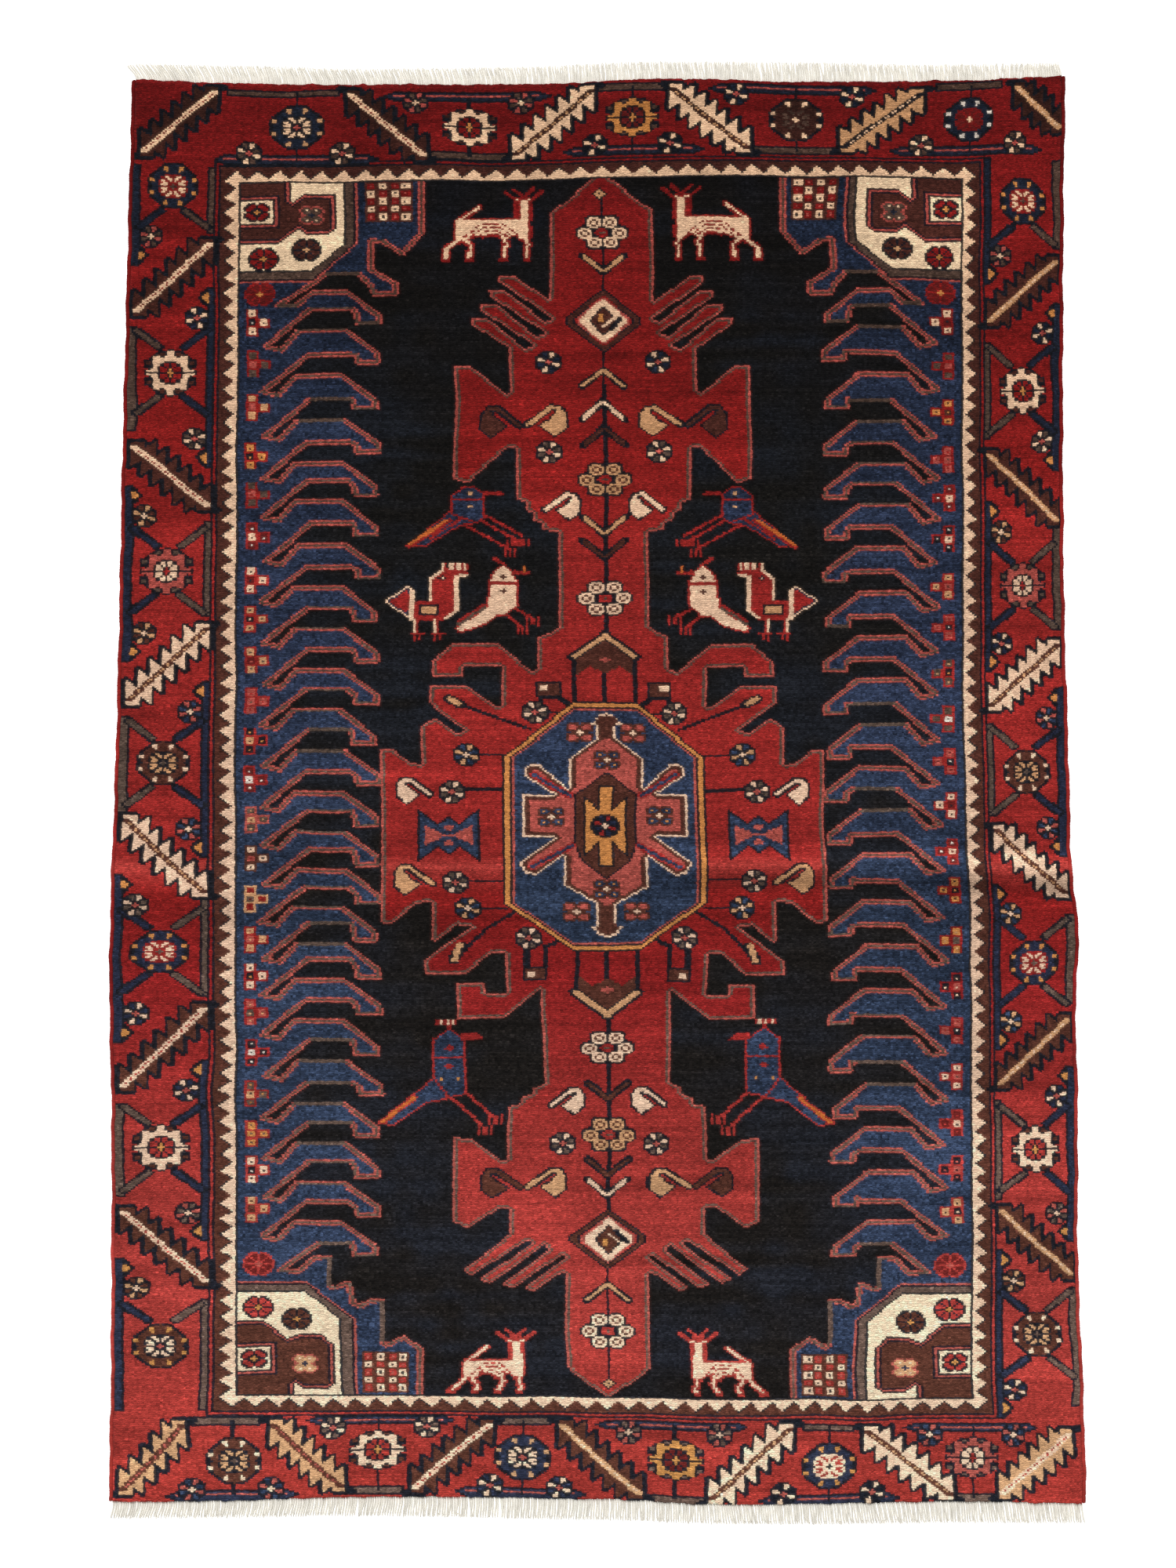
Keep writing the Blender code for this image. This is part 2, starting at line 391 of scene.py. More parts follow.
@dataclass(frozen=True)
class SawnLeaf:
    """A long leaf laid slantwise across the border, both its edges cut into teeth.

    Attributes:
        start: The midrib's left end.
        end: The midrib's right end.
        dress: Its wools.
        teeth: Teeth along each edge.
        depth: Rows from the midrib up to a tooth's tip.
        notch: Rows that a tooth's edge falls before the next tooth.
        margin: Columns that the blade runs on past the midrib's ends.
        headroom: Rows that it may rise past them.
        overlap: Columns by which the teeth's row is longer than the midrib.
        trim: Columns past the blade's end up to which tooth corners are kept.
        edge_width: Width of the dark line that is worked round the blade, half of it outside.
        rib_width: Width of the midrib.
        fleck_width: Width that ties a single knot.
    """

    start: Place
    end: Place
    dress: LeafDress
    teeth: int = 8
    depth: float = 13.2
    notch: float = 4.3
    margin: float = 1.5
    headroom: float = 3.0
    overlap: float = 7.0
    trim: float = 6.5
    edge_width: float = 2.9
    rib_width: float = 2.5
    fleck_width: float = 0.5

    def work(self, pen: Pen) -> None:
        """Works the leaf.

        Args:
            pen: A pen at the cartoon's own origin.
        """
        blade, rib, _ = self.dress.value
        middle = ((self.start[0] + self.end[0]) / 2, (self.start[1] + self.end[1]) / 2)
        here = pen.at(*middle, across=1 if self.end[1] < self.start[1] else -1)
        outline = self._outline((self.end[0] - self.start[0]) / 2, abs(self.end[1] - self.start[1]) / 2)
        here.line(NIGHT, outline + outline[:1], self.edge_width)
        here.fill(blade, outline)
        pen.line(rib, [self.start, self.end], self.rib_width)
        self._stitch(pen)

    def _stitch(self, pen: Pen) -> None:
        """Works the midrib's flecks, two rows in every three.

        Args:
            pen: A pen at the cartoon's own origin.
        """
        upper, lower = sorted((self.start, self.end), key=lambda place: place[1])
        for row in range(upper[1] + 1, lower[1] - 1):
            share = (row + 0.5 - upper[1]) / (lower[1] - upper[1])
            knot = (round(upper[0] + (lower[0] - upper[0]) * share), row + 0.5)
            if row % 3:
                pen.line(self.dress.value[2], [knot, knot], self.fleck_width)

    def _outline(self, half_wide: float, half_high: float) -> list[Place]:
        """The sawn outline of a leaf that rises to the right, round its own middle.

        Args:
            half_wide: Half the midrib's width in columns.
            half_high: Half its height in rows.

        Returns:
            Its corners, clockwise from the lower left.
        """
        slope = half_high / half_wide
        reach = half_wide + self.margin
        top = -(half_high + self.headroom)
        pitch = (2 * half_wide + self.overlap) / self.teeth
        upper = [(-reach, -top)]
        for tooth in range(self.teeth):
            left = -half_wide - self.margin + pitch * tooth
            tip = -left * slope - self.depth
            upper += [(left, max(tip, top)), (left + pitch, max(tip + self.notch, top))]
        upper = [place for place in upper if place[0] <= reach + self.trim]
        return upper + [(-column, -row) for column, row in upper]


class SidePanel(NamedTuple):
    """One rosette's place in a border along the rug: its bars end at the rows given."""

    row: float
    flower: Flower
    blue_outside: bool
    blue_from: float
    blue_to: float
    grey_from: float
    grey_to: float
    buds: tuple[Bud | None, Bud | None]


class EndPanel(NamedTuple):
    """One rosette's place in a border across the rug: its bars end at the columns given."""

    column: float
    row: float
    flower: Flower
    blue_from: float
    blue_to: float
    blue_row: float
    grey_from: float
    grey_to: float
    grey_row: float
    buds: tuple[float, float]
    bud: Bud


LEFT_PANELS = (
    (57.5, Flower.NAVY_WITH_DISC, True, 46, 103, 47, 85, (None, Bud.PINK)),
    (163, Flower.CREAM_GEAR, False, 115, 218, 137, 197, (Bud.NAVY, Bud.TAN)),
    (276, Flower.ROSE_GEAR, True, 228, 328, 248, 302, (Bud.BROWN, Bud.BROWN)),
    (384.5, Flower.BROWN_WITH_CREAM, False, 338, 438, 358, 416, (Bud.BLUE, Bud.BLUE)),
    (491, Flower.NAVY_WITH_DISC, True, 447, 543, 458, 517, (Bud.TAN, Bud.NAVY)),
    (602.5, Flower.CREAM_GEAR, False, 552, 656, 577, 630, (Bud.NAVY, Bud.PINK)),
    (715, Flower.BROWN_WITH_GOLD, True, 665, 752, 688, 752, (Bud.BROWN, None)),
)
RIGHT_PANELS = (
    (68.5, Flower.NAVY_WITH_DISC, False, 44, 115, 46, 95, (None, Bud.PINK)),
    (174, Flower.CREAM_GEAR, True, 125, 220, 147, 202, (Bud.NAVY, Bud.TAN)),
    (284.5, Flower.ROSE_GEAR, False, 237, 334, 250, 310, (Bud.BROWN, Bud.NAVY)),
    (389, Flower.BROWN_WITH_CREAM, True, 341, 438, 362, 415, (Bud.BLUE, Bud.BLUE)),
    (497, Flower.NAVY_WITH_DISC, False, 452, 547, 470, 521, (Bud.SKY, Bud.SKY)),
    (602.5, Flower.CREAM_GEAR, True, 556, 655, 575, 632, (Bud.NAVY, Bud.PINK)),
    (706.5, Flower.BROWN_WITH_CREAM, False, 659, 755, 680, 747, (Bud.BROWN, Bud.NAVY)),
)
TOP_PANELS = (
    (-127.7, 24.7, Flower.NAVY_WITH_CREAM, -164, -93, 43, -158, -109, 6, (-148, -109), Bud.TAN),
    (-55.5, 24.5, Flower.CREAM_GEAR, -92, -21, 7, -72, -39, 41.5, (-78, -34), Bud.PINK),
    (13, 21, Flower.GOLD_GEAR, -17, 44, 40, -2, 27, 4.5, (-3, 29), Bud.DARK),
    (82, 22, Flower.BROWN_PLAIN, 44, 116, 5, 63, 100, 40.5, (57, 104.5), Bud.NAVY),
    (156, 22, Flower.NAVY_WITH_WHITE, 121, 192, 40, 141, 172, 3.5, (134.5, 178), Bud.TAN),
)
BOTTOM_PANELS = (
    (-153.5, 778, Flower.BROWN_WITH_CREAM, -181, -126, 797, -169, -142, 757.5, (-170, -138), Bud.BLUE),
    (-94, 774.5, Flower.CREAM_GEAR, -124, -62, 757.5, -105, -83, 796.5, (-113.5, -74.5), Bud.TAN),
    (-35, 777, Flower.NAVY_WITH_CREAM, -63, -8, 797, -46, -23, 757.5, (-48, -20), Bud.NAVY),
    (27.5, 776, Flower.GOLD_GEAR, -5, 58, 758.5, 15, 41, 798, (8.5, 46), Bud.PINK),
    (92, 779, Flower.NAVY_WITH_RED, 62, 122, 798, 81, 103, 759, (73, 110), Bud.DARK),
    (152, 775, Flower.ROSE_GEAR, 123, 182, 759.5, 143, 163, 797.5, (133.5, 170), Bud.BLUE),
)
LEAVES = (
    ((-196, 39), (-164, 6), LeafDress.BROWN),
    ((-105, 7), (-75, 41), LeafDress.BROWN),
    ((-36, 40), (-5, 6), LeafDress.CREAM),
    ((30, 6), (61, 39), LeafDress.CREAM),
    ((102, 38), (134, 7), LeafDress.GOLD),
    ((179, 6), (199, 28), LeafDress.BROWN_PLAIN, 6),
    ((-196, 793), (-173, 760), LeafDress.PALE, 7),
    ((-137, 760), (-109, 794), LeafDress.PALE),
    ((-79, 795), (-49, 760), LeafDress.BROWN),
    ((-19, 760), (13, 796), LeafDress.BROWN_PLAIN),
    ((43, 797), (75, 760), LeafDress.CREAM),
    ((108, 761), (142, 796), LeafDress.CREAM),
    ((165, 795), (195, 762), LeafDress.CAMEL),
    ((-197, 128), (-165, 91), LeafDress.BROWN),
    ((-197, 206), (-165, 239), LeafDress.BROWN),
    ((-197, 349), (-165, 309), LeafDress.CREAM),
    ((-197, 417), (-165, 457), LeafDress.CREAM),
    ((-197, 567), (-165, 524), LeafDress.BROWN),
    ((-197, 639), (-165, 678), LeafDress.BROWN),
    ((166, 135), (198, 102), LeafDress.BROWN_PLAIN),
    ((166, 211), (198, 247), LeafDress.BROWN_PLAIN),
    ((166, 352), (198, 318), LeafDress.CREAM),
    ((167, 423), (198, 458), LeafDress.CREAM),
    ((166, 566), (198, 530), LeafDress.BROWN_PLAIN),
    ((166, 638), (198, 673), LeafDress.BROWN_PLAIN),
)


@dataclass(frozen=True)
class BorderDesign:
    """The wide madder border: rosettes between bars, and sawn leaves across it.

    Attributes:
        side_column: The long borders' middle, in columns from the rug's middle.
        bar_reach: Columns from there to the middles of the bars.
        bar_half: Half a bar's width, but not a tapered one's.
        strut: The places where a strut starts and ends, from its rosette's middle.
        strut_width: Its width inside its dark edge.
        point_inset: Rows from a bar's end to the tip of the dart on its side.
        dart: The dart's corners, from the bar's side.
        dart_heart: The corners of its gold middle.
        bud_place: How far in from a bar's middle, and from its end, a small rosette is.
        tapered_half: Half a tapered bar's width.
        taper: Columns over which each of its ends comes to a point.
        end_bud_inset: Rows from its middle to a small rosette's.
    """

    side_column: float = 181.6
    bar_reach: float = 17.0
    bar_half: float = 2.3
    strut: tuple[Place, Place] = ((15.5, 23.5), (5.5, 14.0))
    strut_width: float = 2.2
    point_inset: float = 6.0
    dart: tuple[Place, ...] = ((0.0, -5.5), (0.0, 5.5), (4.2, 0.0))
    dart_heart: tuple[Place, ...] = ((-1.5, -3.0), (-1.5, 3.0), (2.4, 0.0))
    bud_place: Place = (6.8, 17.0)
    tapered_half: float = 2.7
    taper: float = 5.0
    end_bud_inset: float = 3.5

    def work(self, pen: Pen) -> None:
        """Works the whole border.

        Args:
            pen: A pen at the cartoon's own origin.
        """
        for direction, panels in ((-1, LEFT_PANELS), (1, RIGHT_PANELS)):
            here = pen.at(direction * self.side_column, 0, across=direction)
            for panel in panels:
                self._side_panel(here, SidePanel(*panel))
        for panel in TOP_PANELS + BOTTOM_PANELS:
            self._end_panel(pen, EndPanel(*panel))
        for leaf in LEAVES:
            SawnLeaf(*leaf).work(pen)

    def _side_panel(self, pen: Pen, panel: SidePanel) -> None:
        """Works one panel of the borders along the rug.

        Args:
            pen: A pen in the border's middle, its columns counting outwards.
            panel: The panel.
        """
        half, blue_side = self.bar_half, 1 if panel.blue_outside else -1
        grey, blue = -blue_side * self.bar_reach, blue_side * self.bar_reach
        pen.box(TAUPE, grey - half, panel.grey_from, grey + half, panel.grey_to, OUTLINE)
        pen.box(NAVY, blue - half, panel.blue_from, blue + half, panel.blue_to, OUTLINE)
        for up, bud, bar_end in zip((-1, 1), panel.buds, (panel.blue_from, panel.blue_to)):
            if bud is None:
                continue
            for side, wool in ((blue_side, NAVY), (-blue_side, TAUPE)):
                ends = [(side * column, panel.row + up * row) for column, row in self.strut]
                pen.line(NIGHT, ends, self.strut_width + 2)
                pen.line(wool, ends, self.strut_width)
            here = pen.at(blue - blue_side * half, bar_end - up * self.point_inset, across=-blue_side)
            here.fill(NIGHT, self.dart)
            here.fill(GOLD, self.dart_heart)
            inwards, along = self.bud_place
            work_bud(pen.at(blue - blue_side * inwards, bar_end - up * along, across=-blue_side), bud)
        work_flower(pen.at(0, panel.row), panel.flower)

    def _end_panel(self, pen: Pen, panel: EndPanel) -> None:
        """Works one panel of the borders across the rug.

        Args:
            pen: A pen at the cartoon's own origin.
            panel: The panel.
        """
        grey, row = panel.grey_row, panel.blue_row
        pen.box(TAUPE, panel.grey_from, grey - self.bar_half, panel.grey_to, grey + self.bar_half, OUTLINE)
        left, right = panel.blue_from + self.taper, panel.blue_to - self.taper
        top, bottom = row - self.tapered_half, row + self.tapered_half
        bar = [(panel.blue_from, row), (left, top), (right, top), (panel.blue_to, row), (right, bottom)]
        pen.fill(NAVY, bar + [(left, bottom)], OUTLINE)
        pen.box(ROSE, left, row - 0.5, right, row + 0.5)
        pen.line(NIGHT, [(panel.column, row), (panel.column, grey)], 1.2)
        inward = 1 if panel.row > row else -1
        for column in panel.buds:
            work_bud(pen.at(column, row + self.end_bud_inset * inward), panel.bud)
        work_flower(pen.at(panel.column, panel.row), panel.flower, low=True)


@dataclass(frozen=True)
class GuardDesign:
    """The narrow stripe between border and field: cream teeth on brown, edged with a red line.

    Attributes:
        column: The cream stripe's inner edge in columns from the middle.
        top: Its inner edge in rows at the top end.
        bottom: Its inner edge in rows at the bottom end.
        width: Knots from that edge to the brown ground's outer edge.
        reach: Knots from that edge to the teeth's tips.
        foot: Knots from that edge to the bottoms between the teeth.
        side_teeth: Teeth along each side.
        end_teeth: Teeth along each end.
        tooth_edge: Knots by which a tooth's dark edge lies outside it.
    """

    column: float = 152.5
    top: float = 55.0
    bottom: float = 744.0
    width: float = 8.0
    reach: float = 6.0
    foot: float = 1.0
    side_teeth: int = 76
    end_teeth: int = 35
    tooth_edge: float = 0.7

    def work(self, pen: Pen) -> None:
        """Works the guard.

        Args:
            pen: A pen at the cartoon's own origin.
        """
        for out, wool in ((3, NIGHT), (2, MADDER), (1, NIGHT), (0, BROWN)):
            self._frame(pen, wool, self.width + out)
        for grown, wool in ((self.tooth_edge, NIGHT), (0.0, CREAM)):
            for side in (-1, 1):
                here = pen.at(side * self.column, self.top - 1, across=side)
                pitch = (self.bottom - self.top + 1) / (self.side_teeth - 1)
                for tooth in range(self.side_teeth):
                    here.fill(wool, self._tooth(tooth * pitch, pitch, grown))
            for row, end in ((self.top, -1), (self.bottom, 1)):
                here = pen.at(-self.column - 1, row, down=end)
                pitch = 2 * (self.column + 1) / (self.end_teeth - 1)
                for tooth in range(self.end_teeth):
                    shape = self._tooth(tooth * pitch, pitch, grown)
                    here.fill(wool, [(across, out) for out, across in shape])
        self._frame(pen, NIGHT, 0.0)
        self._frame(pen, BLACK, -1.0)

    def _frame(self, pen: Pen, wool: Wool, out: float) -> None:
        """Fills a box whose sides lie some knots outside the cream stripe's inner edge."""
        wide = self.column + out
        pen.box(wool, -wide, self.top - out, wide, self.bottom + out)

    def _tooth(self, middle: float, pitch: float, grown: float) -> list[Place]:
        """One tooth, as (outward, along) places, let out by some knots."""
        foot, reach, half = self.foot + grown, self.reach + grown, pitch / 2
        tip = [(foot, middle - half), (reach, middle), (foot, middle + half)]
        return [(0, middle - half), *tip, (0, middle + half)]


FIELD_LIMITS = (-151, 151, 56, 742)

OCTOFOIL_QUARTER = ("...kkk.", "..kkppk", ".kkpppk", ".kpkppk", "kpppkpk", "kppppkr", "kkkkkrr")
SMALL_OCTOFOIL_QUARTER = ("..kkk.", ".kkppk", "kkpppk", "kpppkk", "kppkkr", ".kkkrr")
QUATREFOIL_QUARTER = (".kkkk.", "knnnkk", "kngnnk", "knnnkk", "kkkkkc", "..kkcc")
CLOVER_QUARTER = ("..rrr.", ".rpppr", "rppcpp", "rppppp", ".rpppk", ".rrpkk")
STAR_QUARTER = ("....k", "...kc", "..kcc", ".kcck")
BLOSSOM_CHART = (".cccc.", "ccbbcc", "cbccbc", "cbccbc", "ccbbcc", ".cccc.")


def work_octofoil(pen: Pen, petals: Wool, heart: Wool, edge: Wool = NIGHT) -> None:
    """Works a flower of eight plain petals, thirteen knots wide."""
    pen.stamp(OCTOFOIL_QUARTER, {"k": edge, "p": petals, "r": heart}, quarter=True)


def work_quatrefoil(pen: Pen, petals: Wool, dots: Wool) -> None:
    """Works a flower of four round petals, eleven knots wide."""
    wools = {"k": BROWN, "n": petals, "g": dots, "c": CREAM}
    pen.stamp(QUATREFOIL_QUARTER, wools, quarter=True)


def work_star(pen: Pen, wool: Wool) -> None:
    """Works the little stepped diamond that ends a stem."""
    pen.stamp(STAR_QUARTER, dressed("c", [wool]), quarter=True)


def work_posy(pen: Pen, petals: Wool) -> None:
    """Works six ring blossoms round a small red heart.

    Args:
        pen: A pen at the heart.
        petals: The blossoms' wool.
    """
    middles = ((-3.5, -5.8), (3.5, -5.8), (-7.5, 0.0), (7.5, 0.0), (-3.5, 5.8), (3.5, 5.8))
    for column, row in middles:
        pen.disc(NIGHT, column, row, 4.2, 4.2)
    pen.disc(NIGHT, 0, 0, 4.4, 4.0)
    for column, row in middles:
        pen.at(column, row).stamp(BLOSSOM_CHART, {"c": petals, "b": BROWN})
    pen.disc(MADDER, 0, 0, 3.0, 2.5)
    pen.disc(TAUPE, 0, 0, 1.2, 0.8)


def work_fork(pen: Pen, wool: Wool) -> None:
    """Works a pair of narrow leaves that rise to both sides of a stem.

    Args:
        pen: A pen where they leave it.
        wool: Their wool.
    """
    for side in pen.halves():
        side.line(NIGHT, [(0, 0), (8.8, -9.5)], 3.6)
    for side in pen.halves():
        side.line(wool, [(0.6, -0.6), (8.2, -8.8)], 1.5)


def work_eye(pen: Pen, down: int) -> None:
    """Works the banded lozenge on the stem, with its small hook and dot.

    Args:
        pen: A pen at the lozenge's middle.
        down: Which way up the hook lies, 1 or -1.
    """
    bands = (
        (16, 17.8, NIGHT),
        (15, 16.5, BROWN),
        (12.7, 14.5, NIGHT),
        (11.8, 13.7, MADDER),
        (11, 13.3, ROSE),
        (9.9, 12.2, CREAM),
        (5.5, 8.5, NIGHT),
        (4.7, 7.6, BROWN),
    )
    for wide, high, wool in bands:
        flat = high / 9
        pen.fill(wool, [(0, -high), (wide, -flat), (wide, flat), (0, high), (-wide, flat), (-wide, -flat)])
    here = pen.at(0, 0, down=down)
    here.line(NIGHT, [(3, 4.5), (7.5, -1.5)], 2.0)
    here.line(CREAM, [(0, 3), (5, -2)], 1.2)
    here.box(GOLD, -2.2, -3.2, -0.2, 0.8)


def work_paisley(pen: Pen, wool: Wool, size: float) -> None:
    """Works a drop with a bent stalk that runs off to the right.

    Args:
        pen: A pen at the drop's middle.
        wool: Its wool.
        size: Its size against the largest ones, 11 knots wide.
    """
    drop = [(-5.0, -4.0), (-5.0, 4.0), (-0.5, 8.8), (5.6, 3.0), (1.0, -1.0), (-2.0, -5.5)]
    stalk = [(-3.8, -3.5), (-2.0, -6.8), (1.0, -7.2), (11.2, 2.6)]
    drop, stalk = [[(column * size, row * size) for column, row in part] for part in (drop, stalk)]
    pen.line(NIGHT, stalk, 3.8)
    pen.edged(wool, drop, NIGHT)
    pen.line(wool, stalk, 1.6)


def work_edge_line(pen: Pen, places: Sequence[Place]) -> None:
    """Works the three-knot line, rose outside and taupe inside, that edges the blue ground."""
    pen.line(ROSE, places, 2.3)
    pen.line(TAUPE, places, 0.8)


def work_chequer(pen: Pen, columns: Sequence[float], rows: Sequence[float]) -> None:
    """Works rows of small squares, red and light in turn.

    Args:
        pen: A pen at the cartoon's origin.
        columns: The middles of the squares' columns.
        rows: The middles of their rows.
    """
    for down, row in enumerate(rows):
        for across, column in enumerate(columns):
            light = (down + across) % 2 == 1
            pen.box(CREAM if light else MADDER, column - 1.6, row - 1.8, column + 1.6, row + 1.8)
            pen.box(NIGHT if light else ROSE, column - 0.5, row - 0.6, column + 0.5, row + 0.6)


@dataclass(frozen=True)
class PanelDesign:
    """The blue ground along a long side, whose edge runs in and out in long hooks.

    Attributes:
        hook_rows: The rows of the regular hooks.
        sprig_rows: The rows of the four-square sprigs beside the guard.
        sprig_wools: Each sprig's wools as letters: squares, dots, middle, its dot, edge.
    """

    hook_rows: tuple[float, ...]
    sprig_rows: tuple[float, ...]
    sprig_wools: str

    def work(self, pen: Pen) -> None:
        """Works the panel as it lies on the left.

        Args:
            pen: A pen at the cartoon's own origin.
        """
        line = self._edge()
        ground = [(-155, 50), (-76.0, 50)] + line + [(-77.0, 750), (-155, 750)]
        pen.fill(INDIGO, ground)
        work_edge_line(pen, line)
        for row, heart in ((119.5, GOLD), (668, ROSE)):
            work_octofoil(pen.at(-143, row), GARNET, heart, MADDER)
        for row, letters in zip(self.sprig_rows, self.sprig_wools.split()):
            self._sprig(pen.at(-146, row), letters)

    def _edge(self) -> list[Place]:
        """Lays out where the blue ground ends.

        Returns:
            The edge's corners, from the top end down.
        """
        edge = [(-76, 56), (-76, 85), (-84, 97), (-92, 90), (-97, 89.5), (-97, 106), (-87, 114), (-87, 119.5)]
        edge += [(-95.5, 119.5), (-97, 115), (-102, 108), (-115.5, 108), (-135, 126), (-128, 126)]
        edge += [(-121, 118.5), (-107, 118.5), (-94, 132), (-94, 136), (-102.5, 136), (-103, 131)]
        hook = [(-105, 0), (-122.5, 0), (-141, 20.5), (-134.5, 22.5), (-127.5, 12), (-108, 12)]
        hook += [(-94.5, 26), (-94, 30.5), (-102.5, 30.5), (-103, 26)]
        for turn, start in enumerate(self.hook_rows, start=1):
            edge += [(column + 0.8 * math.sin(turn * 2.4), row + start) for column, row in hook]
        edge += [(-105, 656), (-118, 656), (-134, 672), (-126, 672.5), (-120, 664.5), (-113.5, 664)]
        edge += [(-113.5, 681), (-111, 682), (-105.5, 679), (-104, 690), (-101, 692), (-97, 688.5)]
        edge += [(-92.5, 688), (-92.5, 712), (-91, 714.5), (-84, 709.5), (-77, 716), (-77, 744)]
        return edge

    def _sprig(self, pen: Pen, letters: str) -> None:
        """Works four small squares beside the guard, each with a dot in its middle.

        Args:
            pen: A pen at the sprig's middle.
            letters: The letters of its wools.
        """
        squares, dots, middle, dot, edge = (SPRIG_WOOLS[letter] for letter in letters)
        places = ((0, -4.9), (0, 4.9), (4.9, 0), (0, 0))
        for column, row in places:
            pen.box(edge, column - 2.6, row - 2.6, column + 2.6, row + 2.6)
        for column, row in places:
            inner, spot = (squares, dots) if (column, row) != (0, 0) else (middle, dot)
            pen.box(inner, column - 1.5, row - 1.8, column + 1.5, row + 1.8)
            pen.at(column, row).stamp("x", {"x": spot})


SPRIG_WOOLS = dict(zip("mrkcgbtlwa", (MADDER, ROSE, NIGHT, CREAM, GOLD, BROWN, TAUPE, CAMEL, WHITE, GARNET)))
LEFT_PANEL = PanelDesign(
    hook_rows=(127.8, 153.7, 179, 203.4, 225.6, 249.6, 273.4, 296.8, 320.4, 343.2, 366, 389.4)
    + (410.9, 432.6, 453.9, 475, 495.4, 518.4, 541, 565, 588, 610.1, 632.6),
    sprig_rows=(135.2, 158.9, 183.3, 211, 233.2, 257, 281.1, 303.6, 327, 350, 372.1, 394, 416.4)
    + (438.6, 461.4, 484.3, 505.1, 526, 548.7, 571.8, 594.7, 615, 637.1),
    sprig_wools="ckkwm ttrrm llrrm gkkgm ttrmm awcbm ckakm lkkcm ltarm rmrtm kglkm awwam tllbr "
    "ckrmb matal lrrlm ckkgm rltlm kwwkm tglkm gtgtm ckkwm lbbam",
)
RIGHT_PANEL = PanelDesign(
    hook_rows=(127, 153.4, 180, 203.9, 226.9, 251.6, 276.5, 301.4, 325.4, 351, 375.4, 399)
    + (424.4, 451.4, 476.4, 501.6, 527.8, 554, 579.4, 603.6, 631.4),
    sprig_rows=(135.8, 160.5, 186.6, 213.9, 235.8, 258.9, 285.4, 308.4, 334.2, 359.7, 383.8)
    + (408.3, 434.5, 456.7, 485, 511, 535.8, 561.6, 588, 614, 638),
    sprig_wools="cbakm ttrrm gkbgm rmrtm awcbm kwckm lkrbm rmkwm tlkgm ttwtm rakwm ckakm awcam "
    "gkkgm glttm kcrcm rmkwm ckrtm amckm krrkm lkkcm",
)


@dataclass(frozen=True)
class CornerDesign:
    """A cream and brown quarter lozenge in a left corner of the field, and the chequer beside it.

    Attributes:
        band: The grey band's corners.
        pale: The corners of the pale ground inside it.
        brown: The corners of the brown ground inside that.
        square_row: The middle row of the framed square at the guard.
        clover: Where the flower of four broad petals is.
        clover_wool: The wool of its petals.
        red_flower: Where the red eight-petalled flower is.
        brown_flower: Where the brown one is.
        brown_heart: The wool of the brown one's heart.
        chequer: The left, top, right and bottom of the chequer's brown ground.
        columns: The middles of its squares' columns.
        rows: The middles of their rows.
        square_top: Rows from the framed square's middle to its edges.
        square_sides: Its left and right edges.
    """

    band: list[Place]
    pale: list[Place]
    brown: list[Place]
    square_row: float
    clover: Place
    clover_wool: Wool
    red_flower: Place
    brown_flower: Place
    brown_heart: Wool
    chequer: tuple[float, float, float, float]
    columns: tuple[float, ...]
    rows: tuple[float, ...]
    square_top: float = 9.5
    square_sides: tuple[float, float] = (-160, -135.5)

    def work(self, pen: Pen) -> None:
        """Works the corner.

        Args:
            pen: A pen at the cartoon's own origin.
        """
        pen.fill(TAUPE, self.band, (ROSE, NIGHT))
        pen.fill(IVORY, self.pale, OUTLINE)
        pen.fill(BROWN, self.brown, TRIPLE_EDGE)
        (left, right), row, reach = self.square_sides, self.square_row, self.square_top
        pen.box(IVORY, left, row - reach, right, row + reach, TRIPLE_EDGE)
        pen.at(-145.2, row - 0.3).stamp(SMALL_OCTOFOIL_QUARTER, dressed("pr", (MADDER, GOLD)), quarter=True)
        wools = {"r": ROSE, "p": self.clover_wool, "c": CREAM, "k": NAVY}
        pen.at(*self.clover).stamp(CLOVER_QUARTER, wools, quarter=True)
        work_octofoil(pen.at(*self.red_flower), MADDER, GOLD)
        work_octofoil(pen.at(*self.brown_flower), BROWN, self.brown_heart)
        pen.box(BROWN, *self.chequer)
        work_chequer(pen, self.columns, self.rows)


TRIPLE_EDGE = (NIGHT, ROSE, NIGHT)
TOP_CORNER = CornerDesign(
    band=[(-160, 50), (-102.4, 50), (-102.4, 91.5), (-121, 112.8), (-160, 112.8)],
    pale=[(-160, 50), (-107, 50), (-107, 91), (-122, 107.5), (-160, 107.5)],
    brown=[(-160, 50), (-131, 50), (-130.5, 67.5), (-125, 62), (-111.4, 62), (-111.4, 82)]
    + [(-115, 86.3), (-123.5, 86.3), (-128, 82.5), (-136, 91.3), (-160, 91.3)],
    square_row=72.8,
    clover=(-122.5, 74),
    clover_wool=TAUPE,
    red_flower=(-142.4, 99.4),
    brown_flower=(-124, 94),
    brown_heart=CAMEL,
    chequer=(-99.6, 56, -79.6, 79.5),
    columns=(-97, -92, -87.3, -82.5),
    rows=(58.5, 62.8, 67.2, 71.6, 76),
)
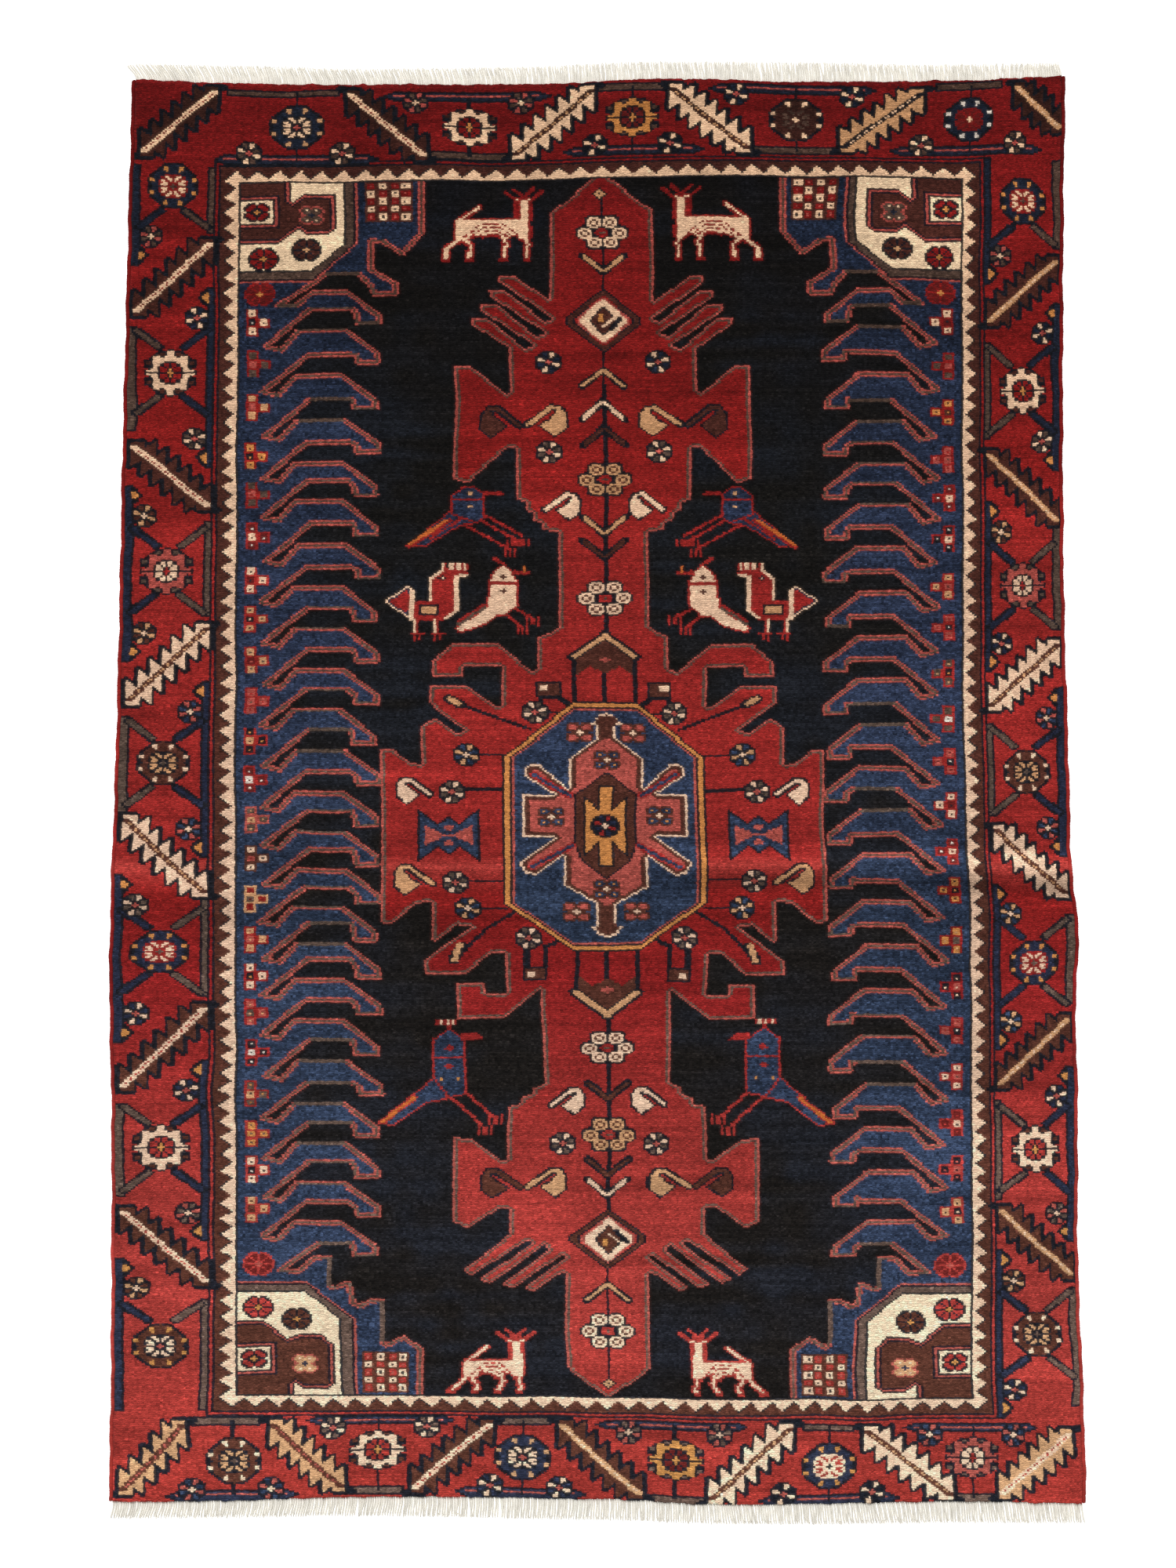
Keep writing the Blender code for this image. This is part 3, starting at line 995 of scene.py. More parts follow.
BOTTOM_CORNER = CornerDesign(
    band=[(-160, 678.4), (-123, 678.4), (-102.8, 699), (-102.8, 750), (-160, 750)],
    pale=[(-160, 683), (-123.5, 683), (-108, 700), (-108, 750), (-160, 750)],
    brown=[(-160, 700), (-140, 700.5), (-131, 711), (-126, 708), (-117, 708), (-111.6, 714.5)]
    + [(-111.6, 736), (-115, 740.5), (-124, 740.5), (-128.5, 736), (-129, 750), (-160, 750)],
    square_row=723.0,
    clover=(-124, 725.5),
    clover_wool=CAMEL,
    red_flower=(-143, 692),
    brown_flower=(-127, 699),
    brown_heart=GOLD,
    chequer=(-100.4, 718.5, -81, 742.5),
    columns=(-97.8, -93, -88.3, -83.6),
    rows=(721, 725.5, 730, 734.5, 739),
)

MEDALLION_EDGE = [
    (0, 55.5), (-4, 56.5), (-8, 60), (-14, 67), (-22, 74), (-22, 124), (-37.5, 109.5), (-43, 110.5),
    (-43, 113.5), (-20.5, 134), (-24, 136), (-41, 117.5), (-47, 118.5), (-46.5, 121.5), (-24, 142),
    (-27.5, 144.5), (-44, 125.8), (-50.5, 126.5), (-50, 130), (-29, 149), (-33, 151.2), (-48, 133.5),
    (-54.3, 134), (-54, 138), (-39.3, 151), (-39.3, 176), (-41.5, 177), (-48, 169.5), (-56, 161.3),
    (-62.6, 161), (-62.6, 223.3), (-56.5, 226.5), (-40, 207), (-36.4, 206.5), (-36.4, 236),
    (-33, 237), (-32.5, 242), (-29.5, 243), (-29, 247.5), (-26, 249), (-25.5, 253), (-18.7, 254),
    (-18.7, 308), (-22, 311), (-27, 313), (-27, 332), (-30, 333), (-44.5, 317), (-63, 317),
    (-71.8, 328), (-71.8, 336), (-58.5, 336), (-58.5, 330), (-42.5, 330), (-42.5, 353), (-45, 353),
    (-57, 341.3), (-72, 341.3), (-72.5, 350), (-70, 353.5), (-57, 366.5), (-60, 368.5), (-69.5, 359.5),
    (-75.5, 364), (-75.5, 386), (-80, 385), (-87, 377.3), (-92.5, 377.3), (-92.5, 474), (-88, 475.5),
    (-78, 464), (-71.8, 462.5), (-72, 484), (-70, 486), (-61, 476.3), (-55.5, 477.5), (-74.7, 497),
    (-74.7, 504), (-57.5, 504), (-47.5, 492), (-41.2, 492), (-41.2, 515), (-50.5, 515), (-51, 509.3),
    (-62, 509.3), (-62, 528.7), (-42.5, 528.7), (-27, 513), (-26.3, 566), (-31, 568), (-32, 572),
    (-36, 574), (-37, 577.5), (-41.6, 579), (-41.6, 609), (-44, 609.5), (-56, 597), (-64, 596),
    (-63.8, 643.5), (-57.5, 647.7), (-45, 635.6), (-40.8, 635.6), (-40.8, 651), (-58.5, 671),
    (-55.5, 674), (-33.5, 654.5), (-31, 656), (-52, 676), (-48, 679), (-25.5, 657), (-24.5, 660),
    (-43, 679), (-39, 681.5), (-18.5, 662.5), (-17, 664), (-34, 681), (-31, 683.5), (-18.8, 672.5),
    (-17.2, 674), (-17.2, 727), (-14, 731), (0, 744),
]


@dataclass(frozen=True)
class MedallionDesign:
    """The great madder medallion with its stem, blossoms, paisleys and lozenges."""

    def work(self, pen: Pen) -> None:
        """Works the medallion.

        Args:
            pen: A pen at the cartoon's own origin.
        """
        pen.fill_both(MADDER, MEDALLION_EDGE, (ROSE, TAUPE))
        pen.line(NIGHT, [(0, 68), (0.35, 311)], 1.5)
        pen.line(NIGHT, [(0.35, 527), (0, 732)], 1.5)
        self._axis(pen)
        for side in pen.halves():
            self._scatter(side)
            self._boots(side)
        self._roof(pen.at(0, 311), 24.0)
        self._roof(pen.at(0, 527.5, down=-1), 22.5)

    def _axis(self, pen: Pen) -> None:
        """Works what stands on the stem.

        Args:
            pen: A pen at the cartoon's own origin.
        """
        for place in ((-0.7, 64.8), (0, 735)):
            work_star(pen.at(*place), CAMEL)
        posies = ((85.5, CREAM), (224.5, CAMEL), (291, CREAM), (545.5, CREAM))
        for row, wool in posies + ((594.5, CAMEL), (706, CREAM)):
            work_posy(pen.at(0, row), wool)
        rising = ((108, CAMEL), (255, CAMEL), (268, BROWN), (575.5, BROWN))
        for row, wool in rising + ((617.5, BROWN), (629, CREAM)):
            work_fork(pen.at(0, row), wool)
        for row, wool in ((163.5, CAMEL), (182, CREAM), (196, BROWN), (679.5, CAMEL)):
            work_fork(pen.at(0, row, down=-1), wool)
        work_eye(pen.at(0.5, 135.5), 1)
        work_eye(pen.at(0, 653.5), -1)

    def _scatter(self, pen: Pen) -> None:
        """Works what is scattered over one half of the ground.

        Args:
            pen: A pen at the cartoon's own origin.
        """
        for place, bud in (((-23, 158), Bud.NAVY), ((-23, 209.5), Bud.TAN), ((-19.5, 599), Bud.TAN)):
            work_bud(pen.at(*place), bud)
        for column, row, across, wool, size in (
            (-46.5, 192, 1, BROWN, 1.0),
            (-20.7, 191.5, -1, CAMEL, 1.0),
            (-14.8, 239.5, -1, CREAM, 0.86),
            (-14.8, 575.8, -1, CREAM, 0.82),
            (-47, 621.5, 1, BROWN, 0.94),
            (-22.8, 621.5, -1, CAMEL, 0.94),
            (-81.5, 400.5, 1, CREAM, 0.82),
            (-82, 449.8, 1, CAMEL, 0.95),
        ):
            work_paisley(pen.at(column, row, across=across), wool, size)
        for row, stem_row, bud, reach in (
            (380.5, 380.5, Bud.SKY, -57.5),
            (401, 400, Bud.TAN, -63.5),
            (451.3, 450.5, Bud.TAN, -62.2),
            (466.8, 466.3, Bud.SKY, -56.8),
        ):
            pen.line(NIGHT, [(reach, stem_row), (-41, stem_row)], 1.2)
            work_bud(pen.at(reach, row), bud)
        for places in (
            [(-63, 348.5), (-57, 353), (-44, 360), (-31, 366)],
            [(-61, 496), (-57, 489), (-49, 478), (-37, 468)],
        ):
            pen.line(NIGHT, places, 1.5)
            (tip, tip_row), (neck, neck_row) = places[:2]
            pen.line(NIGHT, [(tip - 1.5, tip_row), (neck - 2, neck_row - 1.0)], 4.6)
            pen.line(CAMEL, [(tip - 1, tip_row), (neck - 3, neck_row - 1.6)], 2.4)
        self._bow(pen.at(-64.5, 425.5))

    def _bow(self, pen: Pen) -> None:
        """Works the blue bow between the middle paisleys.

        Args:
            pen: A pen at its middle.
        """
        for part in pen.ways():
            part.fill_both(INDIGO, [(0, -11.5), (-4.8, -6.5), (-13, -15), (-13, 0)], OUTLINE)
        for part in pen.ways():
            part.box(INDIGO, -11.8, -3, 11.8, 0)
            for side in part.halves():
                side.fill(ROSE, [(-10, 0), (-10, -5.5), (-1, 0)])
        pen.line(ROSE, [(-9, 0), (9, 0)], 1.0)
        for row in (-4.2, 4.2):
            pen.disc(ROSE, 0, row, 2.4, 1.1)
            pen.disc(ROSE, 0, row, 0.9, 2.1)

    def _boots(self, pen: Pen) -> None:
        """Works the little boots that stand on one half of the octagon.

        Args:
            pen: A pen at the cartoon's own origin.
        """
        pen.box(BROWN, -28, 339, -17.5, 348.5, OUTLINE)
        pen.box(CREAM, -26.5, 340.7, -23, 344)
        pen.fill(NIGHT, [(-27, 347), (-18, 347), (-13.5, 352), (-20, 358), (-28, 352)])
        pen.fill(MADDER, [(-25.5, 349.5), (-19.5, 349.5), (-15.5, 353), (-20, 357), (-26, 353.5)])
        pen.line(NIGHT, [(-29, 356.5), (-17, 356.5)], 1.2)
        work_bud(pen.at(-29, 356, across=-1), Bud.TAN)
        for column in (-33, -25.3):
            pen.box(NIGHT, column - 1.2, 487, column + 1.2, 501)
        pen.line(NIGHT, [(-25.3, 489), (-20, 484.5)], 2.0)
        pen.box(BROWN, -34.3, 500, -24.2, 507.8, OUTLINE)
        pen.box(CREAM, -32.8, 503.5, -29.5, 506.5)
        work_bud(pen.at(-32, 483.5), Bud.TAN)

    def _roof(self, pen: Pen, drop: float) -> None:
        """Works the gabled house at one end of the octagon.

        Args:
            pen: A pen at the gable's tip, rows counting towards the octagon.
            drop: Rows from the tip to the arches' tops.
        """
        for side in pen.halves():
            side.fill(BROWN, [(0, 1), (-12.5, 13.5), (-12.5, drop), (0, drop)])
            side.box(MADDER, -12.5, drop, 0.6, 39.5)
            side.fill(BROWN, [(-12.5, drop - 5), (-12.5, drop), (-6, drop - 6), (0, drop), (0, drop - 5)])
            side.fill(MADDER, [(-11, 39), (-11, drop), (-6.2, drop - 5), (-1, drop - 1), (-1, 39)])
            side.box(NIGHT, -13.8, 13.5, -11.6, 39.5)
            side.line(NIGHT, [(0.5, 0.5), (-12.8, 14)], 4.4)
        for side in pen.halves():
            side.line(CAMEL, [(0.5, 0.8), (-12, 13.4)], 2.2)
        pen.box(NIGHT, -1.0, drop - 1, 1.0, 39.5)
        pen.disc(ROSE, 0, 15.5, 2.4, 1.0)
        pen.disc(ROSE, 0, 15.5, 0.9, 2.0)


FIGURE_EDGE = [
    (0, 356.3), (-3, 357.5), (-6.3, 362.8), (-4, 363.5), (-4, 370.5), (-15.8, 382.5), (-15.8, 399),
    (-27, 385.3), (-31.5, 385.3), (-33.8, 388), (-33.5, 391.5), (-21.5, 401.8), (-34.8, 402.4),
    (-34.8, 425.8), (-21, 425.8), (-35.8, 440.8), (-33.5, 446.5), (-28.5, 448), (-17.3, 436.5),
    (-17.3, 453.5), (-4, 464), (-4, 476.5), (-6.6, 477.2), (-3.5, 481.5), (0, 483),
]


@dataclass(frozen=True)
class OctagonDesign:
    """The blue octagon in the middle, with its rose figure and gold double axe."""

    def work(self, pen: Pen) -> None:
        """Works the octagon.

        Args:
            pen: A pen at the cartoon's own origin.
        """
        frame_half = [(-13.5, 350.2), (-42.4, 381.8), (-42.4, 463.6), (-14, 490.6)]
        rings = (NIGHT, GOLD, GOLD, NIGHT, ROSE)
        pen.fill_both(INDIGO, frame_half, rings)
        pen.fill_both(ROSE, FIGURE_EDGE, (CREAM, BROWN, BROWN))
        for row in (361, 478):
            pen.disc(BROWN, 0, row, 4.4, 3.5)
        pen.box(BROWN, -2.6, 360, 2.6, 371.5)
        pen.box(BROWN, -2.6, 465, 2.6, 479)
        pen.fill_both(BROWN, [(0, 390.5), (-13.3, 402.5), (-13.3, 431), (-10.5, 439), (0, 450)], OUTLINE)
        for side in pen.halves():
            for places in ([(-29.5, 391), (-15, 403)], [(-30.5, 443), (-14, 431)]):
                side.line(MADDER, places, 3.4)
                side.line(INDIGO, places, 1.4)
            work_quatrefoil(side.at(-22.8, 414), INDIGO, GOLD)
            for place in ((-11, 367.5), (-12, 468.5)):
                work_quatrefoil(side.at(*place), ROSE, ROSE)
        for row in (383, 455.5):
            work_quatrefoil(pen.at(0, row), INDIGO, GOLD)
        self._axe(pen.at(0, 420.5))

    def _axe(self, pen: Pen) -> None:
        """Works the double axe and its rosette.

        Args:
            pen: A pen at their middle.
        """
        for part in pen.ways():
            part.box(NIGHT, -3.6, -22.5, 3.6, 0)
            for side in part.halves():
                side.fill(NIGHT, [(-9.6, 0), (-9.6, -17.5), (-2, -8.5), (-2, 0)])
            for side in part.halves():
                side.fill(GOLD, [(-8.6, 0), (-8.6, -15.5), (-4.3, -10), (-3, -8.5), (-3, 0)])
            part.box(GOLD, -2.4, -21.5, 2.4, 0)
            part.box(GOLD, -3.4, -8.5, 3.4, 0)
        pen.disc(NIGHT, 0, 0, 6.8, 6.4)
        pen.stamp(BUD_CHART, dressed(BUD_WOOLS, (NAVY, MADDER, CREAM)))


class Goat(NamedTuple):
    """A goat's head, how long and deep its body is, and each leg's bends as seen from the head."""

    column: float
    row: float
    length: float
    depth: float
    legs: tuple[tuple[Place, ...], ...]


GOAT_BACK = 12.0  # rows from a goat's head down to its back
GOATS = (
    Goat(
        *(-33.2, 66.5, 28.0, 8.5),
        (
            ((-27, 23), (-32.2, 27.5), (-32.2, 34)),
            ((-25, 22), (-22, 26), (-22.5, 34)),
            ((-8, 23), (-6.5, 26), (-8, 27.5), (-8, 34)),
            ((0.6, 23), (2, 26), (1.2, 27.5), (1.2, 34)),
        ),
    ),
    Goat(
        *(-38.0, 711.0, 21.5, 7.0),
        (
            ((-20, 20), (-22.5, 24.5), (-26.5, 29)),
            ((-18.5, 19), (-18, 23), (-15.7, 26), (-17, 29.5)),
            ((-6, 20), (-5.5, 24), (-8, 29.5)),
            ((0.5, 20), (1, 25), (2, 27), (1, 29.5)),
        ),
    ),
)


def work_legs(pen: Pen, legs: Sequence[Sequence[Place]], width: float) -> None:
    """Works legs as lines of one width."""
    for leg in legs:
        pen.line(MADDER, leg, width)


def work_feet(pen: Pen, ankles: Sequence[Place], toes: Sequence[float], length: float, width: float) -> None:
    """Works a bird's feet.

    Args:
        pen: The pen that works the bird.
        ankles: Where its feet start.
        toes: Each toe's place across, from the ankle.
        length: How far the toes reach down.
        width: How wide they are.
    """
    for column, row in ankles:
        for toe in toes:
            pen.line(MADDER, [(column + toe, row), (column + toe, row + length)], width)


@dataclass(frozen=True)
class AnimalDesign:
    """The goats, birds and roosters of the black ground, worked in the left half."""

    def work(self, pen: Pen) -> None:
        """Works one half's animals.

        Args:
            pen: A pen at the cartoon's own origin.
        """
        for goat in GOATS:
            self._goat(pen.at(goat.column, goat.row), goat)
        self._long_bird(pen.at(-56, 230))
        self._tall_bird(pen)
        self._rooster(pen)
        self._white_bird(pen)

    def _goat(self, pen: Pen, goat: Goat) -> None:
        """Works a cream goat with a red edge.

        Args:
            pen: A pen at its head.
            goat: Its form.
        """
        back, top, bottom = -goat.length, GOAT_BACK, GOAT_BACK + goat.depth
        tail = [(back + 1, top), (back + 9.5, top - 8)]
        pen.line(MADDER, tail, 2.7)
        work_legs(pen, goat.legs, 3.1)
        pen.box(MADDER, -3.9, 0.5, 3.9, top + 0.5)
        body = [(back, top), (-1.4, top), (-1.4, 1), (1.9, 1), (2.2, bottom + 2.5), (-1, bottom + 2.5)]
        body += [(-3, bottom), (-5.5, bottom), (-6.5, bottom + 2.5), (-9, bottom + 2.5), (-10, bottom)]
        body += [(back + 8, bottom), (back + 4, bottom + 2.5), (back, bottom + 2.5)]
        pen.edged(CREAM, body, MADDER)
        for places in goat.legs + (tuple(tail),):
            pen.line(CREAM, places, 1.0)
        for _, (column, row) in (leg[-2:] for leg in goat.legs):
            pen.box(MADDER, column - 1.9, row, column + 1.9, row + 1.6)
        self._flank(pen, back, top, bottom)
        pen.fill(MADDER, [(-3.6, 1), (-3, -1), (-1, -2.5), (1, -2.5), (3, -1), (3.6, 1)])
        for side in pen.halves():
            side.line(MADDER, [(0, -1.5), (-4.2, -6.2)], 1.5)
            side.line(MADDER, [(-3, 0.5), (-7.8, -4.5)], 1.5)
            side.box(CREAM, -3.2, 0, -1.8, 1)

    def _flank(self, pen: Pen, back: float, top: float, bottom: float) -> None:
        """Works broken red arcs over a goat's flank, one within another.

        Args:
            pen: A pen at its head.
            back: The column of its rump.
            top: The row of its back.
            bottom: The row of its belly.
        """
        for arc in range(4):
            crest = top + 1.7 + 2.1 * arc
            left, right = back * 0.62 + 0.9 * arc, back * 0.32 - 0.9 * arc
            bends = [(back + 3.4 + 2.6 * arc, bottom + 1), (left, crest), (right, crest)]
            bends.append((-1.2 - 2.4 * arc, bottom + 1.5))
            for place, goal in zip(bends, bends[1:]):
                dashes = max(round((goal[0] - place[0]) / 2.6), 1)
                run, fall = (goal[0] - place[0]) / dashes, (goal[1] - place[1]) / dashes
                for dash in range(dashes):
                    column, row = place[0] + run * dash, place[1] + fall * dash
                    pen.line(MADDER, [(column, row), (column + run * 0.5, row + fall * 0.5)], 0.8)

    def _long_bird(self, pen: Pen) -> None:
        """Works the striding blue bird with the long tail.

        Args:
            pen: A pen at its head.
        """
        work_legs(pen, ([(2, 15), (19, 28)], [(6, 14), (22, 26)], [(-2, 20), (16, 33)]), 1.1)
        work_feet(pen, ((18.5, 28), (22.5, 28), (17, 33.5)), (-2.2, 0, 2.2), 4, 0.9)
        tail = [(-7, 11), (-25, 31.5), (-19, 33.5), (-4, 21), (3, 19)]
        pen.fill(INDIGO, tail, (MADDER,))
        pen.line(MADDER, [(-8, 17.5), (-25, 32.5)], 2.6)
        pen.line(ORANGE, [(-9.5, 17.5), (-24.5, 31.5)], 1.4)
        pen.line(MADDER, [(-3, 16), (-16, 28)], 1.0)
        body = [(-7.5, 3.5), (-3, -1.5), (1, -2.5), (6.6, 2.5), (6.6, 15), (3, 19.5), (-7.5, 14)]
        pen.fill(INDIGO, body, (MADDER,))
        pen.fill(MADDER, [(6, 0.5), (13, 0.8), (14.5, 3.2), (9, 3.4), (6, 2.6)])
        pen.line(MADDER, [(-7, 5.5), (6, 5.5)], 1.0)
        for row in (2.2, 9.7):
            pen.disc(CAMEL, 0.5, row, 1.0, 0.9)

    def _tall_bird(self, pen: Pen) -> None:
        """Works the upright blue bird lower down.

        Args:
            pen: A pen at the cartoon's own origin.
        """
        work_legs(pen, ([(-59, 571), (-48, 584)], [(-65, 573.5), (-52, 589)]), 1.2)
        work_feet(pen, ((-46.5, 584), (-50.5, 590)), (-2.3, 0, 2.3), 4.5, 1.0)
        tail = [(-72, 562), (-94, 587), (-89, 590.5), (-75, 577), (-66, 574.5), (-66, 566)]
        pen.fill(INDIGO, tail, (MADDER,))
        pen.line(MADDER, [(-80, 573.5), (-93, 588)], 2.6)
        pen.line(ORANGE, [(-80, 573.5), (-92.5, 587.5)], 1.4)
        body = [(-72.8, 540), (-65.5, 534), (-59, 539.5), (-58, 540), (-58, 572), (-66, 574), (-72.8, 562)]
        pen.fill(INDIGO, body, (MADDER,))
        pen.fill(MADDER, [(-60, 537), (-54, 536.5), (-51, 540.5), (-60, 541)])
        pen.line(MADDER, [(-65.5, 535), (-65.5, 530)], 1.2)
        pen.box(MADDER, -71, 529, -62, 532)
        for column in (-69.2, -66.3, -63.6):
            pen.box(CREAM, column - 0.6, 529.4, column + 0.6, 531.8)
        pen.line(MADDER, [(-72, 550.5), (-59, 550.5)], 1.3)
        for row in (545.2, 555.5):
            pen.disc(MADDER, -65.3, row, 2.2, 0.9)
            pen.disc(MADDER, -65.3, row, 0.9, 1.9)
        for column in (-69, -62):
            pen.disc(GOLD, column, 562.8, 0.9, 0.9)

    def _rooster(self, pen: Pen) -> None:
        """Works the red rooster with the cream edge.

        Args:
            pen: A pen at the cartoon's own origin.
        """
        tail = [(-91, 293), (-81.5, 285), (-79, 287), (-79, 304)]
        pen.fill(MADDER, tail, (CREAM, NAVY))
        pen.fill(MADDER, [(-85.5, 293), (-80.5, 288.5), (-80.5, 298)])
        body = [(-72.5, 280), (-68, 277.5), (-66, 275.5), (-58, 275.5), (-56, 278.8), (-61.5, 279.5)]
        body += [(-61.5, 299), (-66, 303.5), (-80, 304), (-79.8, 293), (-72.5, 293)]
        pen.fill(MADDER, body)
        pen.line(CREAM, [(-72, 292.5), (-72, 280.5), (-67, 276.5)], 1.1)
        pen.line(CREAM, [(-57, 278.8), (-61.6, 279.3), (-61.6, 299), (-66, 302.5)], 1.1)
        pen.line(CREAM, [(-79.6, 287), (-79.6, 303.5)], 1.1)
        for column in (-67, -63.5, -60.5, -58):
            pen.box(CREAM, column - 0.6, 272, column + 0.6, 275.8)
            pen.box(MADDER, column + 0.6, 272, column + 1.6, 275.8)
        pen.box(CAMEL, -76.4, 295, -68, 300.8, OUTLINE)
        pen.disc(NIGHT, -67.2, 280.5, 1.8, 1.1)
        pen.box(CREAM, -67.6, 280, -66.4, 281)
        for column in (-78.2, -70.2):
            pen.box(CREAM, column - 0.6, 303, column + 0.6, 311.5)
            pen.box(MADDER, column + 0.6, 303, column + 1.6, 311.5)
            pen.line(MADDER, [(column - 0.5, 311.5), (column + 4, 311.5)], 0.9)
            work_feet(pen, [(column, 311.5)], (0, 2.6), 3.5, 0.9)

    def _white_bird(self, pen: Pen) -> None:
        """Works the cream bird beside the rooster.

        Args:
            pen: A pen at the cartoon's own origin.
        """
        work_legs(pen, ([(-39, 296), (-29, 302.5)], [(-41, 300.5), (-34, 308)]), 1.2)
        work_feet(pen, ((-29.5, 302), (-34, 307.5)), (-2.3, 0, 2.3), 4, 0.9)
        body = [(-42, 272), (-37.8, 276.5), (-35.7, 282), (-35.7, 296), (-40, 300), (-40, 301.6)]
        body += [(-45, 302.3), (-51, 307.5), (-60.5, 311.5), (-62.5, 308.5), (-50, 297), (-48.8, 290)]
        body += [(-47.8, 278.5)]
        pen.fill(CREAM, body, (MADDER,))
        pen.line(TAUPE, [(-50, 296.5), (-61, 306.5)], 1.6)
        pen.line(MADDER, [(-49, 294.5), (-61.5, 305)], 1.0)
        pen.line(MADDER, [(-45.5, 268.8), (-41.5, 272.5)], 1.8)
        pen.line(MADDER, [(-37, 276.5), (-31.5, 277.3)], 2.0)
        pen.line(ORANGE, [(-33, 276), (-33, 273.6)], 1.1)
        pen.line(MADDER, [(-47.5, 283), (-36, 283)], 1.2)
        for row in (279.5, 287.3):
            pen.disc(BROWN, -41.8, row, 1.7, 0.8)
            pen.disc(BROWN, -41.8, row, 0.7, 1.7)


def weave_cartoon() -> Cartoon:
    """The whole cartoon of the rug.

    Returns:
        The cartoon, every knot given its wool.
    """
    chart = Cartoon()
    pen = Pen(chart)
    GuardDesign().work(pen)
    inner = replace(pen, limits=FIELD_LIMITS)
    LEFT_PANEL.work(inner)
    RIGHT_PANEL.work(inner.at(0, 0, across=-1))
    for side in inner.halves():
        TOP_CORNER.work(side)
        BOTTOM_CORNER.work(side)
    MedallionDesign().work(inner)
    OctagonDesign().work(inner)
    for side in inner.halves():
        AnimalDesign().work(side)
    BorderDesign().work(pen)
    return chart


@dataclass(frozen=True)
class Dye:
    """A dyed wool, its tone changing from row to row down the rug.

    Attributes:
        row_tones_with_painted_shade: Its colour as seen at some rows from the top down: the row, then
        red, green and blue from 0 to 255. Most grow lighter towards the bottom end; madder's also
        hold a painted highlight and painted shade on the two sides of a fold's crest.
        streak: How far whole rows differ, as a share of the colour.
        cloud: How far wide soft patches differ.
        fleck: How far single knots differ.
        cast: How far red, green and blue shift in the streaks.
    """

    row_tones_with_painted_shade: tuple[tuple[int, int, int, int], ...]
    streak: float = 0.06
    cloud: float = 0.06
    fleck: float = 0.14
    cast: tuple[float, float, float] = (0.0, 0.0, 0.0)

    def by_row(self) -> np.ndarray:
        """The colour in each row, as linear light, ROWS by 3."""
        rows, *tones = np.array(self.row_tones_with_painted_shade).T
        return linear_light(np.stack([np.interp(np.arange(ROWS), rows, tone) for tone in tones], axis=1))


DYES = {
    MADDER: Dye(
        (
            (10, 108, 19, 19), (85, 124, 24, 23), (215, 134, 28, 26), (265, 149, 38, 35),
            # Rows 442 and 458 are a painted highlight and painted shade just above and below the crest of the
            # first fold, near row 446.
            (436, 151, 41, 38), (442, 172, 60, 54), (458, 143, 32, 30), (505, 143, 33, 33),
            (595, 168, 56, 51), (685, 180, 65, 59), (790, 168, 57, 50),
        ),
        streak=0.12,
        cloud=0.09,
        fleck=0.2,
    ),
    ROSE: Dye(((60, 160, 70, 62), (400, 172, 80, 71), (740, 182, 92, 82)), fleck=0.22),
    BLACK: Dye(
        ((60, 16, 15, 17), (240, 21, 21, 23), (450, 27, 26, 28), (720, 32, 31, 34)),
        streak=0.2,
        cloud=0.14,
        fleck=0.34,
        cast=(-0.09, 0.0, 0.13),
    ),
    NIGHT: Dye(((20, 18, 20, 26), (400, 27, 27, 33), (760, 32, 34, 43)), fleck=0.28),
    INDIGO: Dye(
        (
            (60, 27, 35, 52), (200, 35, 43, 62), (335, 43, 52, 74), (465, 47, 59, 81), (700, 50, 62, 86),
        ),
        streak=0.16,
        cloud=0.12,
        fleck=0.4,
    ),
    NAVY: Dye(((20, 25, 30, 42), (400, 37, 41, 60), (760, 48, 54, 75)), fleck=0.26),
    CREAM: Dye(((20, 231, 188, 151), (470, 231, 193, 165), (760, 255, 219, 187))),
    IVORY: Dye(((20, 236, 202, 164), (760, 255, 230, 196))),
    GOLD: Dye(((20, 190, 124, 66), (400, 204, 134, 74), (760, 208, 148, 84))),
    BROWN: Dye(((10, 47, 25, 20), (45, 66, 33, 27), (760, 98, 58, 46)), fleck=0.24),
    TAUPE: Dye(((20, 74, 54, 45), (400, 88, 72, 63), (760, 114, 92, 82)), fleck=0.28),
    CAMEL: Dye(((20, 192, 142, 100), (400, 202, 150, 108), (760, 218, 170, 126))),
    ORANGE: Dye(((20, 190, 94, 44), (760, 198, 110, 54))),
    WHITE: Dye(((20, 214, 200, 186), (760, 226, 214, 200))),
    GARNET: Dye(((20, 92, 24, 23), (760, 112, 38, 36))),
}


def linear_light(tones: np.ndarray) -> np.ndarray:
    """Turns colours as seen, 0 to 255, into linear light."""
    share = tones / 255.0
    return np.where(share <= 0.04045, share / 12.92, ((share + 0.055) / 1.055) ** 2.4)


def soft_noise(random: np.random.Generator, shape: tuple[int, int], step: tuple[int, int]) -> np.ndarray:
    """Smooth noise of about unit size.

    Args:
        random: The source of randomness.
        shape: Rows and columns wanted.
        step: Rows and columns from one random value to the next.

    Returns:
        The noise, an array of the given shape.
    """
    coarse = random.normal(size=(shape[0] // step[0] + 3, shape[1] // step[1] + 3))
    for axis in (0, 1):
        places = np.arange(shape[axis]) / step[axis]
        before = places.astype(int)
        share = places - before
        share = share * share * (3 - 2 * share)
        low, high = np.take(coarse, before, axis=axis), np.take(coarse, before + 1, axis=axis)
        share = share[:, None] if axis == 0 else share[None, :]
        coarse = low * (1 - share) + high * share
    return coarse


DYE_SEED = 7
SHADE_LIMITS = (0.3, 2.4)
CAST_LIMIT = 1.6


